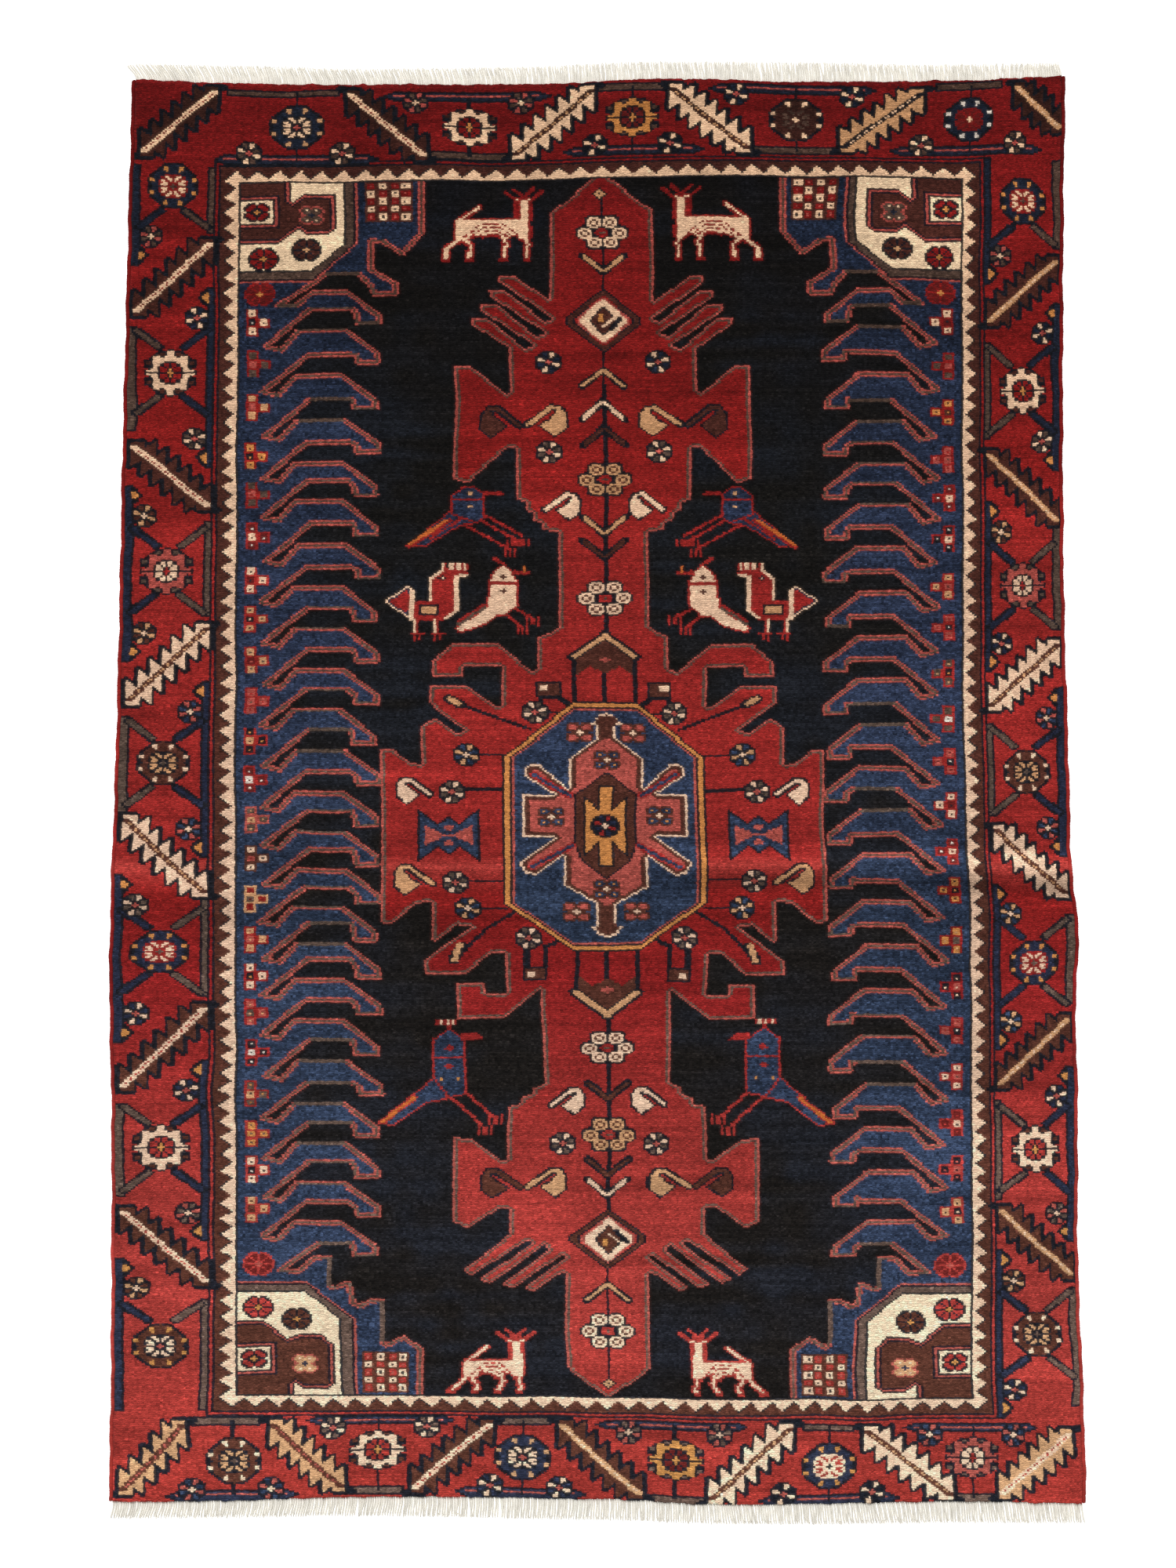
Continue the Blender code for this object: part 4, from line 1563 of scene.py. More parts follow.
def knot_colours(chart: Cartoon) -> np.ndarray:
    """Dyes every knot of the cartoon.

    Args:
        chart: The cartoon.

    Returns:
        Linear colours, ROWS by COLUMNS by 3.
    """
    random = np.random.default_rng(DYE_SEED)
    shape = (ROWS, COLUMNS)
    fine_rows = soft_noise(random, shape, (1, 55)) + 0.6 * soft_noise(random, shape, (2, 12))
    wide_rows = soft_noise(random, shape, (7, 120))
    clouds = soft_noise(random, shape, (40, 34)) + 0.7 * soft_noise(random, shape, (11, 9))
    flecks = random.normal(size=shape)
    colours = np.zeros(shape + (3,))
    for wool, dye in DYES.items():
        knots = chart.wools == wool
        streaks = 0.7 * fine_rows + wide_rows
        shade = np.exp(dye.streak * streaks + dye.cloud * clouds + dye.fleck * flecks)
        casts = 1 + np.array(dye.cast) * np.clip(clouds + wide_rows, -CAST_LIMIT, CAST_LIMIT)[..., None]
        shaded = dye.by_row()[:, None, :] * np.clip(shade, *SHADE_LIMITS)[..., None] * casts
        colours[knots] = shaded[knots]
    return np.clip(colours, 0.0, 1.0)


class SidePlace(NamedTuple):
    """How far the rug reaches at a place along it, cords included, in metres."""

    along: float
    left: float
    right: float


class EndPlace(NamedTuple):
    """Where the pile ends and the fringe's tips lie at a place across the rug, in metres."""

    across: float
    top_pile: float
    top_tip: float
    top_lean: float
    bottom_pile: float
    bottom_tip: float
    bottom_lean: float


class Fold(NamedTuple):
    """A low straight fold: its crest's ends, and its height and half width in metres."""

    start: Place
    end: Place
    height: float
    half_width: float
    start_share: float
    end_share: float


class Column(NamedTuple):
    """Where the guards' inner edges and the middle column lie at a place along the rug."""

    along: float
    left_guard: float
    middle: float
    right_guard: float


class Weft(NamedTuple):
    """How far the wefts at the two end guards bow, in metres, at a place across the rug."""

    across: float
    top: float
    bottom: float


SIDES = (
    SidePlace(1.01, 0.657, 0.662),
    SidePlace(0.85, 0.662, 0.659),
    SidePlace(0.65, 0.667, 0.658),
    SidePlace(0.45, 0.672, 0.658),
    SidePlace(0.25, 0.676, 0.660),
    SidePlace(0.05, 0.681, 0.666),
    SidePlace(-0.12, 0.687, 0.671),
    SidePlace(-0.20, 0.689, 0.681),
    SidePlace(-0.28, 0.690, 0.676),
    SidePlace(-0.45, 0.687, 0.679),
    SidePlace(-0.65, 0.687, 0.679),
    SidePlace(-0.85, 0.688, 0.687),
    SidePlace(-1.00, 0.691, 0.691),
)
ENDS = (
    EndPlace(-0.69, 1.0070, 1.0160, -0.0185, -0.9980, -1.0215, -0.0040),
    EndPlace(-0.67, 1.0060, 1.0250, -0.0150, -0.9980, -1.0213, -0.0040),
    EndPlace(-0.50, 0.9996, 1.0250, -0.0080, -0.9970, -1.0200, -0.0030),
    EndPlace(-0.33, 0.9980, 1.0200, -0.0060, -0.9910, -1.0180, -0.0010),
    EndPlace(-0.07, 0.9990, 1.0240, -0.0030, -0.9935, -1.0230, 0.0),
    EndPlace(0.05, 1.0050, 1.0300, -0.0020, -0.9960, -1.0250, 0.0020),
    EndPlace(0.15, 1.0057, 1.0300, -0.0010, -1.0020, -1.0290, 0.0040),
    EndPlace(0.30, 1.0020, 1.0290, -0.0020, -1.0013, -1.0300, 0.0060),
    EndPlace(0.50, 1.0035, 1.0260, 0.0, -0.9980, -1.0280, 0.0070),
    EndPlace(0.69, 1.0123, 1.0290, 0.0020, -1.0010, -1.0280, 0.0050),
)
FOLDS = (
    Fold((0.72, -0.116), (0.08, -0.106), 0.0090, 0.036, 1.0, 0.25),
    Fold((-0.72, -0.140), (-0.04, -0.174), 0.0060, 0.048, 0.8, 0.3),
    Fold((-0.10, -0.214), (0.36, -0.262), 0.0040, 0.040, 0.3, 0.3),
    Fold((0.085, 0.42), (0.085, -0.88), 0.0030, 0.044, 0.0, 0.3),
)
COLUMN_LINES = (
    Column(1.005, -0.5059, 0.0066, 0.5158),
    Column(0.787, -0.5064, 0.0072, 0.5158),
    Column(0.566, -0.5075, 0.0088, 0.5153),
    Column(0.344, -0.5097, 0.0105, 0.5153),
    Column(0.123, -0.5103, 0.0111, 0.5164),
    Column(-0.043, -0.5108, 0.0116, 0.5197),
    Column(-0.153, -0.5108, 0.0133, 0.5263),
    Column(-0.264, -0.5108, 0.0149, 0.5263),
    Column(-0.430, -0.5103, 0.0155, 0.5274),
    Column(-0.651, -0.5103, 0.0155, 0.5285),
    Column(-0.872, -0.5097, 0.0155, 0.5302),
    Column(-0.995, -0.5097, 0.0155, 0.5307),
)
WEFTS = (
    Weft(-0.69, -0.0026, 0.0030),
    Weft(-0.47, -0.0024, 0.0032),
    Weft(-0.20, 0.0013, 0.0010),
    Weft(0.0, 0.0025, -0.0003),
    Weft(0.20, 0.0040, -0.0004),
    Weft(0.36, 0.0028, -0.0012),
    Weft(0.50, 0.0011, -0.0018),
    Weft(0.69, 0.0, -0.0020),
)


def smooth_between(points: Sequence[tuple[float, float]], at: np.ndarray) -> np.ndarray:
    """Reads a smooth curve through points that run up or down in their first value.

    Args:
        points: The points.
        at: Where to read the curve.

    Returns:
        The curve's heights there.
    """
    ordered = sorted(points)
    steps = np.array([step for step, _ in ordered])
    heights = np.array([height for _, height in ordered])
    after = np.clip(np.searchsorted(steps, at), 1, len(steps) - 1)
    before, beyond = np.maximum(after - 2, 0), np.minimum(after + 1, len(steps) - 1)
    start, end, width = heights[after - 1], heights[after], steps[after] - steps[after - 1]
    slope_in = (end - heights[before]) / (steps[after] - steps[before]) * width
    slope_out = (heights[beyond] - start) / (steps[beyond] - steps[after - 1]) * width
    share = np.clip((at - steps[after - 1]) / width, 0.0, 1.0)
    ease = share * share * (3 - 2 * share)
    bow_in, bow_out = share * (1 - share) ** 2, share * share * (share - 1)
    return start * (1 - ease) + end * ease + slope_in * bow_in + slope_out * bow_out


def eased(share: np.ndarray) -> np.ndarray:
    """A share from 0 to 1, eased at both ends."""
    share = np.clip(share, 0.0, 1.0)
    return share * share * (3 - 2 * share)


@dataclass(frozen=True)
class RugForm:
    """The rug's lie: its outline, its folds, and where each knot of the cartoon comes.

    Lengths are in metres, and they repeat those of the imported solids.
    """

    thickness: float = 0.009
    cord: float = 0.007
    cord_gap: float = 0.0005
    seat: float = 0.0003
    end_ease: float = 0.25
    guard_column: float = 152.5
    guard_rows: tuple[float, float] = (53.0, 746.0)
    guard_along: tuple[float, float] = (0.869, -0.8587)
    weft_fade: float = 0.55
    edge_play: float = 0.0006

    def reach(self, along: np.ndarray) -> tuple[np.ndarray, np.ndarray]:
        """Reads how far the body reaches.

        Args:
            along: Places along the rug.

        Returns:
            Its reach to the left and to the right there.
        """
        inset = self.cord + self.cord_gap
        left = smooth_between([(place.along, place.left) for place in SIDES], along) - inset
        right = smooth_between([(place.along, place.right) for place in SIDES], along) - inset
        return left + self._tugs(along, 0.0), right + self._tugs(along, 2.0)

    def _tugs(self, along: np.ndarray, phase: float) -> np.ndarray:
        """The small unevenness of a side, where the weaver pulled some wefts harder."""
        waves = np.sin(along * 47 + phase) + 0.7 * np.sin(along * 103 + 3 * phase)
        return self.edge_play * (waves + 0.5 * np.sin(along * 211 + phase))

    def pile_end(self, across: np.ndarray, end: int) -> np.ndarray:
        """Where the pile ends: end is 1 at the top end and -1 at the bottom."""
        points = [(place.across, place.top_pile if end > 0 else place.bottom_pile) for place in ENDS]
        return smooth_between(points, across)

    def drift(self, across: np.ndarray, along: np.ndarray) -> np.ndarray:
        """How far rows near an end run out with the uneven end."""
        top = (self.pile_end(across, 1) - 1) * eased(1 - (1 - along) / self.end_ease)
        return top + (self.pile_end(across, -1) + 1) * eased(1 - (1 + along) / self.end_ease)

    def bow(self, across: np.ndarray, along: np.ndarray) -> np.ndarray:
        """Reads how far the wefts bow about the end guards.

        Args:
            across: Places across the rug.
            along: Places along it.

        Returns:
            How far they run towards the top end there.
        """
        total = np.zeros(np.broadcast(across, along).shape)
        for end, guard in ((1, self.guard_along[0]), (-1, self.guard_along[1])):
            points = [(weft.across, weft.top if end > 0 else weft.bottom) for weft in WEFTS]
            depth, full = 1 - end * along, 1 - abs(guard)
            share = np.where(depth < full, depth / full, eased(1 - (depth - full) / self.weft_fade))
            total = total + smooth_between(points, across) * share
        return total

    def lift(self, across: np.ndarray, along: np.ndarray) -> np.ndarray:
        """Reads how far the folds lift the rug.

        Args:
            across: Places across the rug.
            along: Places along it.

        Returns:
            Its height off the floor there.
        """
        total = np.zeros(np.broadcast(across, along).shape)
        for fold in FOLDS:
            (start_x, start_y), (end_x, end_y) = fold.start, fold.end
            run, fall = end_x - start_x, end_y - start_y
            share = ((across - start_x) * run + (along - start_y) * fall) / (run**2 + fall**2)
            share = np.clip(share, 0.0, 1.0)
            off = np.hypot(across - start_x - run * share, along - start_y - fall * share)
            crest = fold.height * (fold.start_share * (1 - share) + fold.end_share * share)
            total = total + crest * (0.5 + 0.5 * np.cos(np.pi * np.clip(off / fold.half_width, 0, 1)))
        return total

    def knot_place(self, columns: np.ndarray, rows: np.ndarray) -> tuple[np.ndarray, np.ndarray]:
        """Where places of the cartoon come on the lying rug.

        Args:
            columns: Cartoon columns, -200.5 to 200.5 from side to side.
            rows: Cartoon rows, 0 to 800 from end to end.

        Returns:
            How far across and how far along they come.
        """
        along = np.interp(rows, (0.0, *self.guard_rows, float(ROWS)), (1.0, *self.guard_along, -1.0))
        left, right = self.reach(along)
        lines = [-left]
        for line in (1, 2, 3):
            lines.append(smooth_between([(place.along, place[line]) for place in COLUMN_LINES], along))
        lines.append(right)
        edge = COLUMN_REACH + 0.5
        marks = (-edge, -self.guard_column, 0.0, self.guard_column, edge)
        across = np.zeros(np.broadcast(columns, rows).shape)
        for span in range(4):
            share = (columns - marks[span]) / (marks[span + 1] - marks[span])
            inside = (share >= 0) & (share <= 1)
            across = np.where(inside, lines[span] * (1 - share) + lines[span + 1] * share, across)
        return across, along + self.drift(across, along) + self.bow(across, along)


class Shader:
    """A material's node tree, built node by node."""

    def __init__(self, name: str) -> None:
        """Starts a material with nothing but its output and its surface shader."""
        self.material = bpy.data.materials.new(name)
        self.material.use_nodes = True
        self.tree = self.material.node_tree
        self.surface = self.tree.nodes["Principled BSDF"]

    def node(self, kind: str, **settings: object) -> Node:
        """Adds a node.

        Args:
            kind: Its type.
            **settings: Its own settings, not its sockets.

        Returns:
            The node.
        """
        made = self.tree.nodes.new(kind)
        for setting, value in settings.items():
            setattr(made, setting, value)
        return made

    def link(self, source: NodeSocket, target: NodeSocket) -> None:
        """Joins two sockets."""
        self.tree.links.new(source, target)

    def feed(self, target: NodeSocket, value: object) -> None:
        """Joins a socket to another, or sets it to a plain value.

        Args:
            target: The socket.
            value: The other socket, or the value.
        """
        if isinstance(value, NodeSocket):
            self.link(value, target)
        else:
            target.default_value = value

    def math(self, operation: str, first: object, second: object = 0.0) -> NodeSocket:
        """Adds one step of arithmetic.

        Args:
            operation: Which one.
            first: Its first value or socket.
            second: Its second one.

        Returns:
            The step's outcome.
        """
        made = self.node("ShaderNodeMath", operation=operation)
        self.feed(made.inputs[0], first)
        self.feed(made.inputs[1], second)
        return made.outputs[0]

    def spread(self, value: object, low: float, high: float, to_low: float, to_high: float) -> NodeSocket:
        """Maps a value's range onto another, held at its ends.

        Args:
            value: The value.
            low: Its range's start.
            high: That range's end.
            to_low: The other range's start.
            to_high: That one's end.

        Returns:
            The mapped value.
        """
        made = self.node("ShaderNodeMapRange")
        for place, number in enumerate((value, low, high, to_low, to_high)):
            self.feed(made.inputs[place], number)
        return made.outputs[0]

    def places(self, stretch: tuple[float, float, float] = (1.0, 1.0, 1.0)) -> NodeSocket:
        """Reads places on the object in metres.

        Args:
            stretch: How far they are stretched along each axis.

        Returns:
            The places.
        """
        coordinates = self.node("ShaderNodeTexCoord")
        mapping = self.node("ShaderNodeMapping")
        mapping.inputs["Scale"].default_value = stretch
        self.link(coordinates.outputs["Object"], mapping.inputs["Vector"])
        return mapping.outputs[0]

    def noise(self, places: NodeSocket, size: float, detail: float = 2.0) -> NodeSocket:
        """Adds noise.

        Args:
            places: Where it is read.
            size: About how many metres across its lumps are.
            detail: How many finer layers it has.

        Returns:
            The noise.
        """
        made = self.node("ShaderNodeTexNoise")
        self.link(places, made.inputs["Vector"])
        made.inputs["Scale"].default_value = 1.0 / size
        made.inputs["Detail"].default_value = detail
        return made.outputs[0]

    def shade(self, colour: object, factor: NodeSocket) -> NodeSocket:
        """Makes a colour lighter or darker.

        Args:
            colour: The colour.
            factor: The factor.

        Returns:
            The new colour.
        """
        made = self.node("ShaderNodeVectorMath", operation="SCALE")
        self.feed(made.inputs[0], colour)
        self.link(factor, made.inputs["Scale"])
        return made.outputs[0]

    def mix(self, share: object, first: object, second: object) -> NodeSocket:
        """Mixes two colours.

        Args:
            share: The second one's share.
            first: The first.
            second: The second.

        Returns:
            The mixed colour.
        """
        made = self.node("ShaderNodeMix", data_type="RGBA")
        self.feed(made.inputs[0], share)
        self.feed(made.inputs[6], first)
        self.feed(made.inputs[7], second)
        return made.outputs[2]

    def attribute(self, name: str, output: str = "Color") -> NodeSocket:
        """A value stored on the mesh."""
        made = self.node("ShaderNodeAttribute", attribute_name=name)
        return made.outputs[output]

    def knot_place(self) -> Sequence[NodeSocket]:
        """The column and the row of the cartoon that a place lies in, and a value that isn't used."""
        split = self.node("ShaderNodeSeparateXYZ")
        self.link(self.attribute(KNOT_PLACES, "Vector"), split.inputs[0])
        return split.outputs

    def bump(self, height: NodeSocket, depth: float, strength: float = 1.0) -> None:
        """Roughens the surface.

        Args:
            height: The height, from 0 to 1.
            depth: How many metres it counts.
            strength: How strongly it shows.
        """
        made = self.node("ShaderNodeBump")
        made.inputs["Strength"].default_value = strength
        made.inputs["Distance"].default_value = depth
        self.link(height, made.inputs["Height"])
        self.link(made.outputs[0], self.surface.inputs["Normal"])


WOOL_COLOURS = "wool_colour"
KNOT_PLACES = "knot_place"
NOISE_RANGE = (0.3, 0.7)  # where most of a noise's values lie
HALF_KNOT = 0.5


@dataclass(frozen=True)
class Cloth:
    """What every cloth finish has: how matt it is, and its sheen."""

    name: str
    roughness: float = 0.92
    gloss: float = 0.08
    sheen: float = 0.05
    sheen_roughness: float = 0.45

    def start(self) -> Shader:
        """Starts a shader with the cloth's own constants.

        Returns:
            The shader.
        """
        shader = Shader(self.name)
        surface = shader.surface
        surface.inputs["Roughness"].default_value = self.roughness
        surface.inputs["Specular IOR Level"].default_value = self.gloss
        surface.inputs["Sheen Weight"].default_value = self.sheen
        surface.inputs["Sheen Roughness"].default_value = self.sheen_roughness
        return shader


@dataclass(frozen=True)
class PileFinish(Cloth):
    """Cut wool pile: tufts in rows, their fibre ends, and the furrows between rows.

    Attributes:
        fibre: Size of a fibre end's fleck in metres.
        furrow_painted_shade: How far painted shade darkens the furrow between two rows.
        crest: How far a painted highlight lightens the row's crest, as a share of that.
        relief: Depth of the fibres' relief in metres.
        relief_strength: How strongly it shows.
        row_waver: Knots by which the furrows waver.
        waver_size: Size of their wavers in metres.
        tuft: How far into a row a tuft still rises, in knots, and how steeply.
        side: The same into a column.
        fibre_height: The fibres' share of the relief.
        clump: Size of a clump of fibres, as fibres.
        fleck_shades: The darkest and the lightest a fibre looks.
        clump_shades: The darkest and the lightest a clump looks.
    """

    fibre: float = 0.0007
    furrow_painted_shade: float = 0.24
    crest: float = 0.45
    relief: float = 0.0009
    relief_strength: float = 0.7
    row_waver: float = 0.3
    waver_size: float = 0.004
    tuft: tuple[float, float] = (0.28, 3.4)
    side: tuple[float, float] = (0.2, 1.2)
    fibre_height: float = 0.8
    clump: float = 5.0
    fleck_shades: tuple[float, float] = (0.76, 1.26)
    clump_shades: tuple[float, float] = (0.93, 1.07)

    def material(self) -> Material:
        """Makes the pile's material.

        Returns:
            The material.
        """
        shader = self.start()
        column, row_place, _ = shader.knot_place()
        waver = shader.noise(shader.places(), self.waver_size, 1.0)
        shift = shader.spread(waver, *NOISE_RANGE, -self.row_waver, self.row_waver)
        row = shader.math("ADD", row_place, shift)
        in_row = shader.math("PINGPONG", row, HALF_KNOT)
        in_column = shader.math("PINGPONG", column, HALF_KNOT)
        tuft = self._rise(shader, in_row, self.tuft)
        side = self._rise(shader, in_column, self.side)
        fibres = shader.noise(shader.places((1.0, 0.6, 1.0)), self.fibre, 3.0)
        clumps = shader.noise(shader.places((0.7, 1.0, 1.0)), self.fibre * self.clump, 2.0)
        # Painted shade in the furrows between rows and a painted highlight along each row's crest.
        furrows = shader.spread(in_row, 0.0, 0.3, 1.0 - self.furrow_painted_shade, 1.0 + self.furrow_painted_shade * self.crest)
        flecks = shader.spread(fibres, 0.32, 0.68, *self.fleck_shades)
        clump_shade = shader.spread(clumps, *NOISE_RANGE, *self.clump_shades)
        factor = shader.math("MULTIPLY", shader.math("MULTIPLY", furrows, flecks), clump_shade)
        shader.link(shader.shade(shader.attribute(WOOL_COLOURS), factor), shader.surface.inputs["Base Color"])
        tufts = shader.math("ADD", tuft, side)
        height = shader.math("ADD", tufts, shader.math("MULTIPLY", fibres, self.fibre_height))
        shader.bump(height, self.relief, self.relief_strength)
        return shader.material

    def _rise(self, shader: Shader, inwards: NodeSocket, form: tuple[float, float]) -> NodeSocket:
        """How high a tuft stands at some knots in from its edge, by how far and how steeply it rises."""
        return shader.math("MULTIPLY", shader.math("MINIMUM", inwards, form[0]), form[1])


@dataclass(frozen=True)
class BackFinish(Cloth):
    """The back: knot loops in rows over cotton wefts.

    Attributes:
        loop: Depth of the loops' relief in metres.
        loop_strength: How strongly it shows.
        row_rise: How much higher a loop stands across the rows than across the columns.
        fibre: Size of a fibre's fleck in metres.
        fleck_shades: The darkest and the lightest a fibre looks.
        weft_rows: Rows in from a row's edge where the cotton shows fully, and where it ends.
        weft_share: How fully it shows.
        weft: Its colour.
    """

    loop: float = 0.0006
    loop_strength: float = 0.8
    row_rise: float = 1.6
    fibre: float = 0.0009
    fleck_shades: tuple[float, float] = (0.85, 1.12)
    weft_rows: tuple[float, float] = (0.04, 0.12)
    weft_share: float = 0.35
    weft: tuple[float, float, float, float] = (0.55, 0.47, 0.38, 1.0)

    def material(self) -> Material:
        """Makes the back's material.

        Returns:
            The material.
        """
        shader = self.start()
        column, row_place, _ = shader.knot_place()
        in_row = shader.math("PINGPONG", row_place, HALF_KNOT)
        in_column = shader.math("PINGPONG", shader.math("MULTIPLY", column, 2.0), HALF_KNOT)
        fibres = shader.noise(shader.places(), self.fibre, 3.0)
        shown = shader.spread(in_row, *self.weft_rows, self.weft_share, 0.0)
        wools = shader.attribute(WOOL_COLOURS)
        wool = shader.shade(wools, shader.spread(fibres, *NOISE_RANGE, *self.fleck_shades))
        shader.link(shader.mix(shown, wool, self.weft), shader.surface.inputs["Base Color"])
        height = shader.math("ADD", shader.math("MULTIPLY", in_row, self.row_rise), in_column)
        shader.bump(height, self.loop, self.loop_strength)
        return shader.material


@dataclass(frozen=True)
class YarnFinish(Cloth):
    """Spun yarn: its colour, its mottling and its fibres.

    Attributes:
        fibre: Size of a fibre's fleck in metres.
        depth: Depth of the fibres' relief in metres.
        strength: How strongly it shows.
        mottle: How far patches are darkened.
        light_share: How far they are lightened, as a share of that.
        patch: Size of a patch in metres.
        fleck_shades: The darkest and the lightest a fibre looks.
    """

    fibre: float = 0.0006
    depth: float = 0.0004
    strength: float = 0.8
    mottle: float = 0.15
    light_share: float = 0.6
    patch: float = 0.02
    fleck_shades: tuple[float, float] = (0.84, 1.12)

    def material(self) -> Material:
        """Makes the yarn's material.

        Returns:
            The material.
        """
        shader = self.start()
        fibres = shader.noise(shader.places(), self.fibre, 3.0)
        patches = shader.noise(shader.places(), self.patch, 2.0)
        flecks = shader.spread(fibres, *NOISE_RANGE, *self.fleck_shades)
        light = 1.0 + self.mottle * self.light_share
        clouds = shader.spread(patches, *NOISE_RANGE, 1.0 - self.mottle, light)
        factor = shader.math("MULTIPLY", flecks, clouds)
        shader.link(shader.shade(shader.attribute(WOOL_COLOURS), factor), shader.surface.inputs["Base Color"])
        shader.bump(fibres, self.depth, self.strength)
        return shader.material


@dataclass(frozen=True)
class FloorFinish:
    """A plain pale matt floor, which glows a little as lit studio paper does.

    Attributes:
        name: The material's name.
        tone: How light it is.
        grain: How far that differs.
        grain_size: Size of the differences in metres.
        roughness: How matt it is.
        gloss: How strongly it shines.
        glow: How strongly it glows.
    """

    name: str = "pale_floor"
    tone: float = 0.93
    grain: float = 0.01
    grain_size: float = 0.05
    roughness: float = 0.9
    gloss: float = 0.1
    glow: float = 0.6

    def material(self) -> Material:
        """Makes the floor's material.

        Returns:
            The material.
        """
        shader = Shader(self.name)
        grain = shader.noise(shader.places(), self.grain_size, 2.0)
        tone = shader.spread(grain, *NOISE_RANGE, self.tone - self.grain, self.tone + self.grain)
        shader.link(tone, shader.surface.inputs["Base Color"])
        shader.surface.inputs["Roughness"].default_value = self.roughness
        shader.surface.inputs["Specular IOR Level"].default_value = self.gloss
        shader.surface.inputs["Emission Color"].default_value = (1.0, 1.0, 1.0, 1.0)
        shader.surface.inputs["Emission Strength"].default_value = self.glow
        return shader.material


def new_object(name: str, places: np.ndarray, faces: np.ndarray, material: Material) -> Object:
    """A smooth mesh object at the origin.

    Args:
        name: Its name.
        places: Its vertices in metres, one row each.
        faces: Its faces' vertex numbers, four a face.
        material: Its finish.

    Returns:
        The object, linked into the scene.
    """
    mesh = bpy.data.meshes.new(name)
    mesh.from_pydata(places.tolist(), [], faces.tolist())
    mesh.polygons.foreach_set("use_smooth", np.ones(len(faces), dtype=bool))
    mesh.materials.append(material)
    made = bpy.data.objects.new(name, mesh)
    bpy.context.scene.collection.objects.link(made)
    return made


def paint_corners(made: Object, colours: np.ndarray) -> None:
    """Stores a linear colour on every face corner, for the finish to read.

    Args:
        made: The object.
        colours: The corners' colours, one row each.
    """
    store = made.data.color_attributes.new(WOOL_COLOURS, "FLOAT_COLOR", "CORNER")
    filled = np.ones((len(colours), 4), dtype=np.float32)
    filled[:, :3] = colours
    store.data.foreach_set("color", filled.ravel())


def ring_faces(rings: int, sides: int, first: int = 0) -> np.ndarray:
    """The faces of a tube whose vertices lie ring after ring.

    Args:
        rings: How many rings it has.
        sides: Vertices in a ring.
        first: The number of its first vertex.

    Returns:
        The faces, outwards, four vertices each.
    """
    ring, side = np.meshgrid(np.arange(rings - 1), np.arange(sides), indexing="ij")
    here = first + ring * sides
    beyond = (side + 1) % sides
    faces = np.stack([here + side, here + beyond, here + sides + beyond, here + sides + side], axis=-1)
    return faces.reshape(-1, 4)


@dataclass(frozen=True)
class KnotGrid:
    """A grid of quads, one to a knot or to a few, with what each needs to be dressed.

    Attributes:
        places: Vertices in metres, rows by columns by 3.
        colours: Linear colours of the quads' corners, rows by columns by 4 by 3.
        knots: Cartoon columns and rows of the vertices, rows by columns by 2.
    """

    places: np.ndarray
    colours: np.ndarray
    knots: np.ndarray

    def piece(self, name: str, left: int, right: int, finish: Material, up: bool = True) -> Object:
        """Makes an object of some of the columns.

        Args:
            name: The object's name.
            left: Its first column of quads.
            right: The column of quads after its last.
            finish: Its material.
            up: True where it shows its face upwards.

        Returns:
            The object.
        """
        places = self.places[:, left : right + 1]
        rows, columns = places.shape[0] - 1, right - left
        number = np.arange((rows + 1) * (columns + 1)).reshape(rows + 1, columns + 1)
        corners = [number[:-1, :-1], number[1:, :-1], number[1:, 1:], number[:-1, 1:]]
        colours = self.colours[:, left:right]
        flat = self._unfolded(rows, columns)
        if not up:
            corners = corners[::-1]
            colours = colours[:, :, ::-1]
            flat = flat[:, :, ::-1]
        faces = np.stack(corners, axis=-1).reshape(-1, 4)
        made = new_object(name, places.reshape(-1, 3), faces, finish)
        paint_corners(made, colours.reshape(-1, 3))
        store = made.data.attributes.new(KNOT_PLACES, "FLOAT_VECTOR", "POINT")
        knots = np.zeros((number.size, 3), dtype=np.float32)
        knots[:, :2] = self.knots[:, left : right + 1].reshape(-1, 2)
        store.data.foreach_set("vector", knots.ravel())
        chart = made.data.uv_layers.new(name="OFBake")
        chart.data.foreach_set("uv", flat.reshape(-1).astype(np.float32))
        return made

    def _unfolded(self, rows: int, columns: int) -> np.ndarray:
        """The quads' corners on a flat sheet, cut into lengths that fill a square.

        Args:
            rows: Rows of quads.
            columns: Columns of quads.

        Returns:
            Places from 0 to 1, rows by columns by 4 by 2.
        """
        lengths = max(1, round(math.sqrt(rows / columns)))
        length_rows = math.ceil(rows / lengths)
        row, column = np.meshgrid(np.arange(rows), np.arange(columns), indexing="ij")
        wide = lengths * (columns + 1)
        flat = np.zeros((rows, columns, 4, 2))
        for corner, (down, across) in enumerate(((0, 0), (1, 0), (1, 1), (0, 1))):
            length = row // length_rows
            flat[:, :, corner, 0] = (length * (columns + 1) + column + across + 0.5) / wide
            flat[:, :, corner, 1] = 1 - (row - length * length_rows + down + 0.5) / (length_rows + 1)
        return flat


def meeting(values: np.ndarray) -> np.ndarray:
    """The means of quads' values at the vertices where the quads meet."""
    padded = np.pad(values, [(1, 1), (1, 1)] + [(0, 0)] * (values.ndim - 2), mode="edge")
    return (padded[:-1, :-1] + padded[1:, :-1] + padded[:-1, 1:] + padded[1:, 1:]) / 4


def corner_colours(colours: np.ndarray, softness: float) -> np.ndarray:
    """Quads' corner colours, each drawn a little towards its neighbours' where they meet.

    Args:
        colours: The quads' own colours.
        softness: How far, from 0 to 1.

    Returns:
        The corners' colours, rows by columns by 4 by 3.
    """
    met = meeting(colours)
    corners = (met[:-1, :-1], met[1:, :-1], met[1:, 1:], met[:-1, 1:])
    return np.stack([colours * (1 - softness) + corner * softness for corner in corners], axis=2)


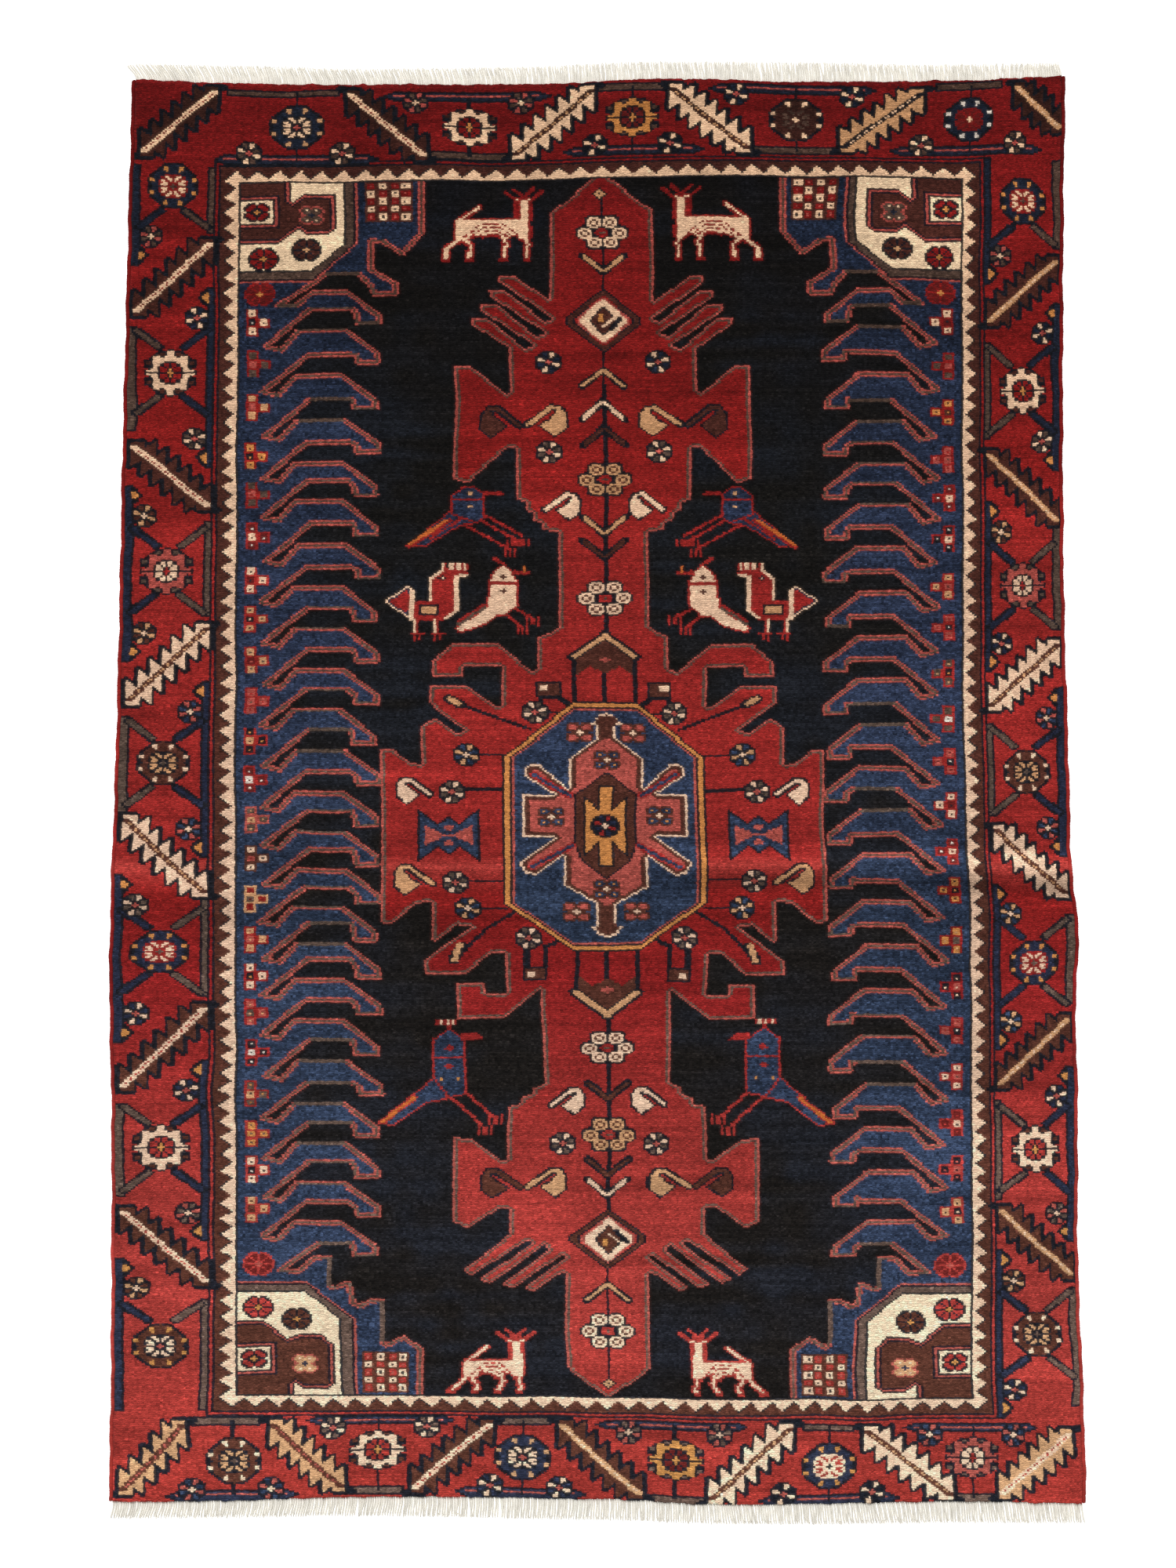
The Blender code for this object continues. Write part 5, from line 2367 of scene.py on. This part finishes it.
def closed_grid(
    places: np.ndarray,
    rims: np.ndarray,
    colours: np.ndarray,
    softness: float,
    columns: np.ndarray,
    rows: np.ndarray,
) -> KnotGrid:
    """A grid with a ring of quads round it that closes its edges.

    Args:
        places: The grid's vertices, rows by columns by 3.
        rims: The heights that the ring's outer vertices have, rows by columns.
        colours: The quads' colours.
        softness: How far neighbouring quads' colours mingle.
        columns: The vertices' cartoon columns.
        rows: Their cartoon rows.

    Returns:
        The grid, a quad wider and longer on every side.
    """
    rimmed = np.pad(places, RIM_PAD, mode="edge")
    ring = np.ones(rimmed.shape[:2], dtype=bool)
    ring[1:-1, 1:-1] = False
    rimmed[ring, 2] = np.pad(rims, 1, mode="edge")[ring]
    soft = corner_colours(np.pad(colours, RIM_PAD, mode="edge"), softness)
    return KnotGrid(rimmed, soft, np.pad(np.stack([columns, rows], axis=-1), RIM_PAD, mode="edge"))


RIM_PAD = ((1, 1), (1, 1), (0, 0))
PILE_SEED = 11
CORD_SEED = 23
FRINGE_SEED = 41
WISP_SIDES = 3
DARK_WOOLS = (BLACK, NIGHT, BROWN, NAVY)


@dataclass(frozen=True)
class PileSurface:
    """The cut pile, one facet to a knot, in lengths side by side.

    Attributes:
        form: The rug's lie.
        strips: How many lengths it is made in.
        waver: Knots by which whole rows and columns wander.
        stray: Knots by which single knots stray.
        tuft: How far tufts differ in height, in metres.
        worn: How far the dark wools have worn down, in metres.
        edge_fall: How far the outermost knots lean down, in metres, from the edge inwards.
        softness: How far neighbouring tufts mingle.
        lie: How far the wool's colour is lightened as a painted highlight where a fold faces the top end,
        and darkened as painted shade where it faces the bottom end.
        waver_steps: Knots down and across over which rows and columns wander, for each.
        stray_limit: Times its usual size that a stray is let be.
        ragged: How far the cut ends' rows are uneven, knot by knot and in runs, in metres.
    """

    form: RugForm
    strips: int = 4
    waver: float = 0.45
    stray: float = 0.17
    tuft: float = 0.00034
    worn: float = 0.0005
    edge_fall: tuple[float, ...] = (0.0016, 0.0005, 0.0001)
    softness: float = 0.16
    lie: float = 1.0
    waver_steps: tuple[tuple[int, int], ...] = ((26, 30), (30, 22))
    stray_limit: float = 1.6
    ragged: tuple[float, float] = (0.0004, 0.0006)

    def build(self, chart: Cartoon, colours: np.ndarray) -> list[Object]:
        """Makes the pile.

        Args:
            chart: The cartoon.
            colours: The colour of every knot.

        Returns:
            Its lengths, from the left.
        """
        grid = self._grid(chart, colours)
        finish = PileFinish("wool_pile").material()
        quads = grid.places.shape[1] - 1
        cuts = [round(quads * strip / self.strips) for strip in range(self.strips + 1)]
        pieces = []
        for strip, (left, right) in enumerate(zip(cuts, cuts[1:])):
            pieces.append(grid.piece(f"pile_length_{strip + 1}", left, right, finish))
        return pieces

    def _grid(self, chart: Cartoon, colours: np.ndarray) -> KnotGrid:
        """Lays out the pile's grid.

        Args:
            chart: The cartoon.
            colours: The colour of every knot.

        Returns:
            The grid, its edges closed down to the back.
        """
        random = np.random.default_rng(PILE_SEED)
        shape = (ROWS + 1, COLUMNS + 1)
        columns, rows = np.meshgrid(np.arange(COLUMNS + 1) - COLUMNS / 2, np.arange(ROWS + 1.0))
        strays = []
        for step in self.waver_steps:
            wander = self.waver * soft_noise(random, shape, step)
            single = np.clip(random.normal(size=shape), -self.stray_limit, self.stray_limit)
            strays.append(wander + self.stray * single)
        inside = np.minimum(COLUMNS / 2 - np.abs(columns), np.minimum(rows, ROWS - rows))
        free = np.clip(inside / 2, 0, 1)
        across, along = self.form.knot_place(columns + strays[0] * free, rows + strays[1] * free)
        by_knot, in_runs = self.ragged
        ragged = by_knot * random.normal(size=shape) + in_runs * soft_noise(random, shape, (1, 4))
        along = along + ragged * ((rows == 0) | (rows == ROWS))
        dark = np.isin(chart.wools, DARK_WOOLS).astype(float)
        height = self.form.thickness - self.worn * meeting(dark) + self.tuft * random.normal(size=shape)
        for ring, fall in enumerate(self.edge_fall):
            height = height - fall * (inside == ring)
        lift = self.form.lift(across, along)
        # Painted highlight and painted shade over the folds: colours are lightened where a fold faces the top
        # end and darkened where it faces the bottom end.
        tilt = np.diff(lift, axis=0)[:, :-1] / np.diff(along, axis=0)[:, :-1]
        shaded = np.clip(colours * np.exp(-self.lie * tilt)[..., None], 0.0, 1.0)
        places = np.stack([across, along, height + lift], axis=-1)
        return closed_grid(places, lift + self.form.seat, shaded, self.softness, columns, rows)


@dataclass(frozen=True)
class BackSheet:
    """The foundation and the knots' backs: the sheet that the rug is.

    Attributes:
        form: The rug's lie.
        step: Knots to a facet each way.
        rim: How high its edges turn up, in metres.
        inset: The share of its width and length by which it is smaller than the pile.
        paleness: How much lighter the back's wool looks.
        softness: How far neighbouring facets' colours mingle.
    """

    form: RugForm
    step: int = 2
    rim: float = 0.0026
    inset: float = 0.0003
    paleness: float = 1.12
    softness: float = 0.2

    def build(self, colours: np.ndarray) -> Object:
        """Makes the sheet.

        Args:
            colours: The colour of every knot.

        Returns:
            The sheet.
        """
        taken = np.concatenate([np.arange(0, COLUMNS - 1, self.step), [COLUMNS - 1]])
        backs = np.clip(colours[:: self.step][:, taken] * self.paleness, 0, 1)
        bounds = np.append(taken, COLUMNS) - COLUMNS / 2
        columns, rows = np.meshgrid(bounds, np.arange(0, ROWS + 1, self.step, dtype=float))
        across, along = self.form.knot_place(columns, rows)
        across, along = across * (1 - self.inset), along * (1 - self.inset)
        lift = self.form.lift(across, along)
        height = lift + self.form.seat
        places = np.stack([across, along, height], axis=-1)
        grid = closed_grid(places, height + self.rim, backs, self.softness, columns, rows)
        finish = BackFinish("knotted_back").material()
        return grid.piece("foundation_back", 0, grid.places.shape[1] - 1, finish, up=False)


@dataclass(frozen=True)
class SideCord:
    """A side cord: outer warps wrapped round and round with madder wool.

    Attributes:
        form: The rug's lie.
        side: -1 for the left cord, 1 for the right.
        pitch: Metres from one wrap to the next.
        sides: Vertices round the cord.
        groove: How deep the yarn lies apart between wraps, in metres.
        slant: How far a wrap runs along the cord from its one side to the other, in metres.
        tuck: How far the cord lies in under the pile's edge, in metres.
        length: The cord's length in metres.
        stray: How far a wrap strays along the cord, as a share of the pitch.
        uneven: How far wraps differ in thickness.
        end_share: Thickness of the cord's cut ends, as a share of its own.
        swell: How far a wrap may stand out past the cord's thickness, in metres.
        square_ends: Metres at each end over which the wraps come to lie square.
        wrap_shade: How far single wraps differ in colour.
        patch_shade: How far runs of wraps differ in colour.
        patch: Wraps in such a run.
    """

    form: RugForm
    side: int
    pitch: float = 0.0026
    sides: int = 8
    groove: float = 0.00055
    slant: float = 0.0012
    tuck: float = 0.0009
    length: float = 2.0
    stray: float = 0.09
    uneven: float = 0.05
    end_share: float = 0.25
    swell: float = 0.0002
    square_ends: float = 0.01
    wrap_shade: float = 0.08
    patch_shade: float = 0.12
    patch: int = 24

    def build(self) -> Object:
        """Makes the cord.

        Returns:
            The cord.
        """
        random = np.random.default_rng(CORD_SEED + self.side)
        wraps = int(self.length / self.pitch)
        ridges = np.linspace(1.0, -1.0, 2 * wraps + 1)
        ridges[1:-1] += random.normal(size=len(ridges) - 2) * self.pitch * self.stray
        radius = np.full(len(ridges), self.form.cord / 2)
        radius[::2] -= self.groove
        radius *= 1 + self.uneven * random.normal(size=len(ridges))
        radius[[0, -1]] *= self.end_share
        radius = np.clip(radius, 0.0, self.form.cord / 2 + self.swell)
        angles = math.tau * (np.arange(self.sides) + 0.5) / self.sides
        left, right = self.form.reach(ridges)
        edge = -left if self.side < 0 else right
        middle = edge + self.side * (self.form.cord / 2 - self.tuck)
        along = ridges + self.form.drift(edge, ridges) + self.form.bow(edge, ridges)
        lift = self.form.lift(edge, along)
        places = np.zeros((len(ridges), self.sides, 3))
        places[..., 0] = middle[:, None] + radius[:, None] * np.cos(angles)
        places[..., 1] = along[:, None] + self.slant * np.sin(angles) * self._inside(ridges)[:, None]
        places[..., 2] = self.form.cord / 2 + lift[:, None] + radius[:, None] * np.sin(angles)
        faces = ring_faces(len(ridges), self.sides)
        name = "overcast_left" if self.side < 0 else "overcast_right"
        made = new_object(name, places.reshape(-1, 3), faces, YarnFinish("overcast_wool").material())
        paint_corners(made, self._colours(random, ridges))
        return made

    def _inside(self, ridges: np.ndarray) -> np.ndarray:
        """0 at the cord's ends and 1 along it, so that the end wraps lie square."""
        return np.clip((1 - np.abs(ridges)) / self.square_ends, 0, 1)

    def _colours(self, random: np.random.Generator, ridges: np.ndarray) -> np.ndarray:
        """Dyes the cord.

        Args:
            random: The source of randomness.
            ridges: Its rings' places along the rug.

        Returns:
            The wool's colour at every face corner.
        """
        # Madder's tones by row, including the painted highlight and painted shade beside the first fold's
        # crest.
        row_tones_with_painted_shade = DYES[MADDER].by_row()
        rows = np.clip((1 - ridges[:-1]) / 2 * ROWS, 0, ROWS - 1).astype(int)
        shade = 1 + self.wrap_shade * random.normal(size=len(rows))
        patches = soft_noise(random, (len(rows), 1), (self.patch, 1))[:, 0]
        shade = shade * (1 + self.patch_shade * patches)
        colours = np.clip(row_tones_with_painted_shade[rows] * shade[:, None], 0, 1)
        return np.repeat(colours, self.sides * 4, axis=0)


@dataclass(frozen=True)
class Fringe:
    """The warps' cut ends, in soft twisted bundles that lean and waver.

    Attributes:
        form: The rug's lie.
        end: 1 for the top end, -1 for the bottom.
        strands: How many bundles stand side by side.
        sides: Vertices round a bundle.
        rings: Rings along a bundle.
        radius: A bundle's radius in metres.
        inset: Metres from the body's side to the first bundle's middle.
        tuck: How far a bundle starts in under the pile, in metres.
        spacing_play: How far bundles stray sideways, in metres.
        length_play: How far they differ in length, as a share.
        shade_play: How far they differ in colour.
        gust: How far whole runs of them sway, in metres.
        gust_strands: Bundles in such a run.
        sway: How far single ones sway, in metres.
        stray_sway: How far the few stray ones do.
        tidy_share: The share that aren't stray.
        curl: How far they bend on the way, in metres, and how much that differs.
        ripple: How far a bundle's thickness ripples, and its ripples' pace.
        thinning: The share by which it is thinner towards its tip.
        blunt: The share of its thickness that its very end has.
        tip_height: Height of their tips' middles in metres.
        height_play: How far those differ.
        root_rise: How much higher they start.
        wisps: Loose fibres at a bundle's tip.
        wisp_radii: A loose fibre's radii, ring by ring, in metres.
        wisp_spread: How far it strays at its root and at its tip, in metres.
        wisp_reach: Its least length, and how much more it may have.
        wisp_height: Its least height, and how much more it may have.
        wisp_lean: The share of the bundle's lean that it follows.
        cotton: The cotton's colour as seen, 0 to 255.
    """

    form: RugForm
    end: int
    strands: int = 404
    sides: int = 5
    rings: int = 8
    radius: float = 0.00172
    inset: float = 0.0015
    tuck: float = 0.0012
    spacing_play: float = 0.0002
    length_play: float = 0.018
    shade_play: float = 0.035
    gust: float = 0.0013
    gust_strands: int = 16
    sway: float = 0.0003
    stray_sway: float = 0.0016
    tidy_share: float = 0.97
    curl: tuple[float, float] = (0.0007, 0.0002)
    ripple: tuple[float, float] = (0.05, 9.0)
    thinning: float = 0.16
    blunt: float = 0.5
    tip_height: float = 0.0017
    height_play: float = 0.0006
    root_rise: float = 0.0018
    wisps: int = 3
    wisp_radii: tuple[float, ...] = (0.00055, 0.0005, 0.0004, 0.0002)
    wisp_spread: tuple[float, float] = (0.0008, 0.0009)
    wisp_reach: tuple[float, float] = (0.0046, 0.0022)
    wisp_height: tuple[float, float] = (0.0012, 0.001)
    wisp_lean: float = 0.25
    cotton: tuple[float, float, float] = (249.0, 244.0, 232.0)

    def build(self) -> Object:
        """Makes the fringe.

        Returns:
            The fringe.
        """
        random = np.random.default_rng(FRINGE_SEED + self.end)
        places, faces, shades = [], [], []
        for route, radii, shade in self._threads(random):
            sides = self.sides if len(route) == self.rings else WISP_SIDES
            faces.append(ring_faces(len(route), sides, sum(len(tube) for tube in places)))
            places.append(self._tube(route, radii, sides))
            shades.append(np.full(len(faces[-1]), shade))
        name = "fringe_top_ends" if self.end > 0 else "fringe_bottom_ends"
        finish = YarnFinish("warp_cotton", fibre=0.0008, depth=0.0005, mottle=0.07, sheen=0.2).material()
        made = new_object(name, np.concatenate(places), np.concatenate(faces), finish)
        cotton = linear_light(np.array([self.cotton]))
        colours = np.clip(cotton * np.concatenate(shades)[:, None], 0, 1)
        paint_corners(made, np.repeat(colours, 4, axis=0))
        LOG.info("%s: %d threads", name, len(places))
        return made

    def _threads(self, random: np.random.Generator) -> Iterator[tuple[np.ndarray, np.ndarray, float]]:
        """Works out the threads, from the left.

        Args:
            random: The source of randomness.

        Yields:
            Each thread's route, its radii and its shade.
        """
        ends = np.array([float(self.end)])
        left, right = self.form.reach(ends)
        tip_points = [(at.across, at.top_tip if self.end > 0 else at.bottom_tip) for at in ENDS]
        lean_points = [(at.across, at.top_lean if self.end > 0 else at.bottom_lean) for at in ENDS]
        starts = np.linspace(-left[0] + self.inset, right[0] - self.inset, self.strands)
        starts = starts + random.normal(size=self.strands) * self.spacing_play
        roots = self.form.pile_end(starts, self.end)
        tips, leans = smooth_between(tip_points, starts), smooth_between(lean_points, starts)
        gusts = self.gust * soft_noise(random, (self.strands, 1), (self.gust_strands, 1))[:, 0]
        sways = np.where(random.random(self.strands) > self.tidy_share, self.stray_sway, self.sway)
        share = np.linspace(0, 1, self.rings)
        for strand in range(self.strands):
            root = roots[strand] - self.end * self.tuck
            reach = (tips[strand] - root) * (1 + self.length_play * random.normal())
            sway = leans[strand] + gusts[strand] + sways[strand] * random.normal()
            bend = self.curl[1] * random.normal() + self.curl[0]
            lie = self.height_play * random.random()
            route = np.zeros((self.rings, 3))
            route[:, 0] = starts[strand] + sway * share**1.4 + bend * np.sin(share * math.pi * 1.6)
            route[:, 1] = root + reach * share
            route[:, 2] = self.tip_height + lie + self.root_rise * (1 - share) ** 2
            ripples = self.ripple[0] * np.sin(share * self.ripple[1] + strand)
            radii = self.radius * (0.96 + ripples) * (1 - self.thinning * share**3)
            radii[-1] *= self.blunt
            shade = 1 + self.shade_play * random.normal()
            yield route, radii, shade
            for _ in range(self.wisps):
                wisp = self._wisp(random, route[-2], self.wisp_lean * leans[strand])
                yield wisp, np.array(self.wisp_radii), shade * 1.02

    def _wisp(self, random: np.random.Generator, root: np.ndarray, lean: float) -> np.ndarray:
        """Works out a loose fibre at a bundle's tip.

        Args:
            random: The source of randomness.
            root: Where it leaves the bundle.
            lean: How far it leans sideways, apart from its own straying.

        Returns:
            Its route.
        """
        turn = np.linspace(0, 1, len(self.wisp_radii))
        wisp = np.zeros((len(turn), 3))
        away = self.wisp_spread[1] * random.normal() + lean
        wisp[:, 0] = root[0] + self.wisp_spread[0] * random.normal() + away * turn
        wisp[:, 1] = root[1] + self.end * (self.wisp_reach[0] + self.wisp_reach[1] * random.random()) * turn
        wisp[:, 2] = self.wisp_height[0] + self.wisp_height[1] * random.random()
        return wisp

    def _tube(self, route: np.ndarray, radii: np.ndarray, sides: int) -> np.ndarray:
        """Lays vertices round a route that runs along the rug.

        Args:
            route: The route.
            radii: The tube's radius at each of its places.
            sides: Vertices round it.

        Returns:
            The vertices.
        """
        angles = math.tau * np.arange(sides) / sides
        places = np.repeat(route[:, None, :], sides, axis=1)
        turn = -self.end
        places[..., 0] += radii[:, None] * np.cos(angles) * turn
        places[..., 2] += radii[:, None] * np.sin(angles) * 0.7
        return places.reshape(-1, 3)


@dataclass(frozen=True)
class Stage:
    """The floor, the soft studio light and the camera straight above.

    Attributes:
        view_height: Metres that the photograph's frame shows along the rug.
        view_centre: The place on the rug under the frame's middle.
        lens: The lens in millimetres.
        sensor: The sensor's width in millimetres.
        sky: Strength of the light from all round.
        sky_tone: Its colour.
        lamp: Strength of the lamp beyond the top end.
        lamp_tilt: How far it is tilted along and across the rug, in degrees.
        lamp_spread: How wide it looks, in degrees.
        floor_reach: Metres from the middle of the floor to its edges.
    """

    view_height: float = 2.2114
    view_centre: Place = (-0.0133, 0.0127)
    lens: float = 90.0
    sensor: float = 36.0
    sky: float = 0.42
    sky_tone: tuple[float, float, float, float] = (1.0, 0.995, 0.985, 1.0)
    lamp: float = 2.15
    lamp_tilt: tuple[float, float] = (-38.0, -8.0)
    lamp_spread: float = 25.0
    floor_reach: float = 40.0

    def build(self) -> None:
        """Makes floor, light and camera."""
        scene = bpy.context.scene
        scene.view_settings.view_transform = "Standard"
        self._floor()
        self._light(scene)
        self._camera(scene)

    def _floor(self) -> None:
        """Makes the plain pale floor."""
        half = self.floor_reach
        places = np.array([(-half, -half, 0.0), (half, -half, 0.0), (half, half, 0.0), (-half, half, 0.0)])
        floor = new_object("floor", places, np.array([[0, 1, 2, 3]]), FloorFinish().material())

    def _light(self, scene: Scene) -> None:
        """Makes the light from all round and the broad lamp.

        Args:
            scene: The scene.
        """
        world = bpy.data.worlds.new("studio")
        world.use_nodes = True
        background = world.node_tree.nodes["Background"]
        background.inputs["Color"].default_value = self.sky_tone
        background.inputs["Strength"].default_value = self.sky
        scene.world = world
        lamp = bpy.data.lights.new("broad_lamp", "SUN")
        lamp.energy = self.lamp
        lamp.angle = math.radians(self.lamp_spread)
        holder = bpy.data.objects.new("broad_lamp", lamp)
        tilt_along, tilt_across = self.lamp_tilt
        holder.rotation_euler = (math.radians(tilt_along), math.radians(tilt_across), 0.0)
        scene.collection.objects.link(holder)

    def _camera(self, scene: Scene) -> None:
        """Makes the camera, straight above the frame's middle.

        Args:
            scene: The scene.
        """
        lens = bpy.data.cameras.new("camera")
        lens.lens = self.lens
        lens.sensor_width = self.sensor
        lens.sensor_fit = "AUTO"
        camera = bpy.data.objects.new("camera", lens)
        height = self.lens * self.view_height / self.sensor
        camera.location = (*self.view_centre, height)
        scene.collection.objects.link(camera)
        scene.camera = camera


@dataclass(frozen=True)
class Rug:
    """The whole rug: its pieces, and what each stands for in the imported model.

    Attributes:
        form: Its lie.
        cut: Its foundation's flat width and length in metres.
    """

    form: RugForm = field(default_factory=RugForm)
    cut: tuple[float, float] = (1.335, 2.0)

    def build(self) -> None:
        """Makes every piece and ties it to the frame."""
        chart = weave_cartoon()
        colours = knot_colours(chart)
        back = BackSheet(self.form).build(colours)
        pile = PileSurface(self.form).build(chart, colours)
        left, right = SideCord(self.form, -1).build(), SideCord(self.form, 1).build()
        top, bottom = Fringe(self.form, 1).build(), Fringe(self.form, -1).build()
        for piece in (back, *pile):
            self._tie(piece, "knotted_body", "pile_wool")
        self._tie(left, "side_cord_left", "side_wool")
        self._tie(right, "side_cord_right", "side_wool")
        self._tie(top, "fringe_top", "warp_cotton")
        self._tie(bottom, "fringe_bottom", "warp_cotton")

    def _tie(self, piece: Object, node: str, slot: str) -> None:
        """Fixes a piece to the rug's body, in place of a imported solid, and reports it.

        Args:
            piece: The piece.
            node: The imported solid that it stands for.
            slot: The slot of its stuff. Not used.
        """
        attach(piece, "root")
        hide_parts(node)
        LOG.info("%s: %d faces, for %s", piece.name, len(piece.data.polygons), node)


def main() -> None:
    """Builds the stage and the rug."""
    logging.basicConfig(level=logging.INFO, format="%(message)s")
    Stage().build()
    Rug().build()


if __name__ == "__main__":
    main()
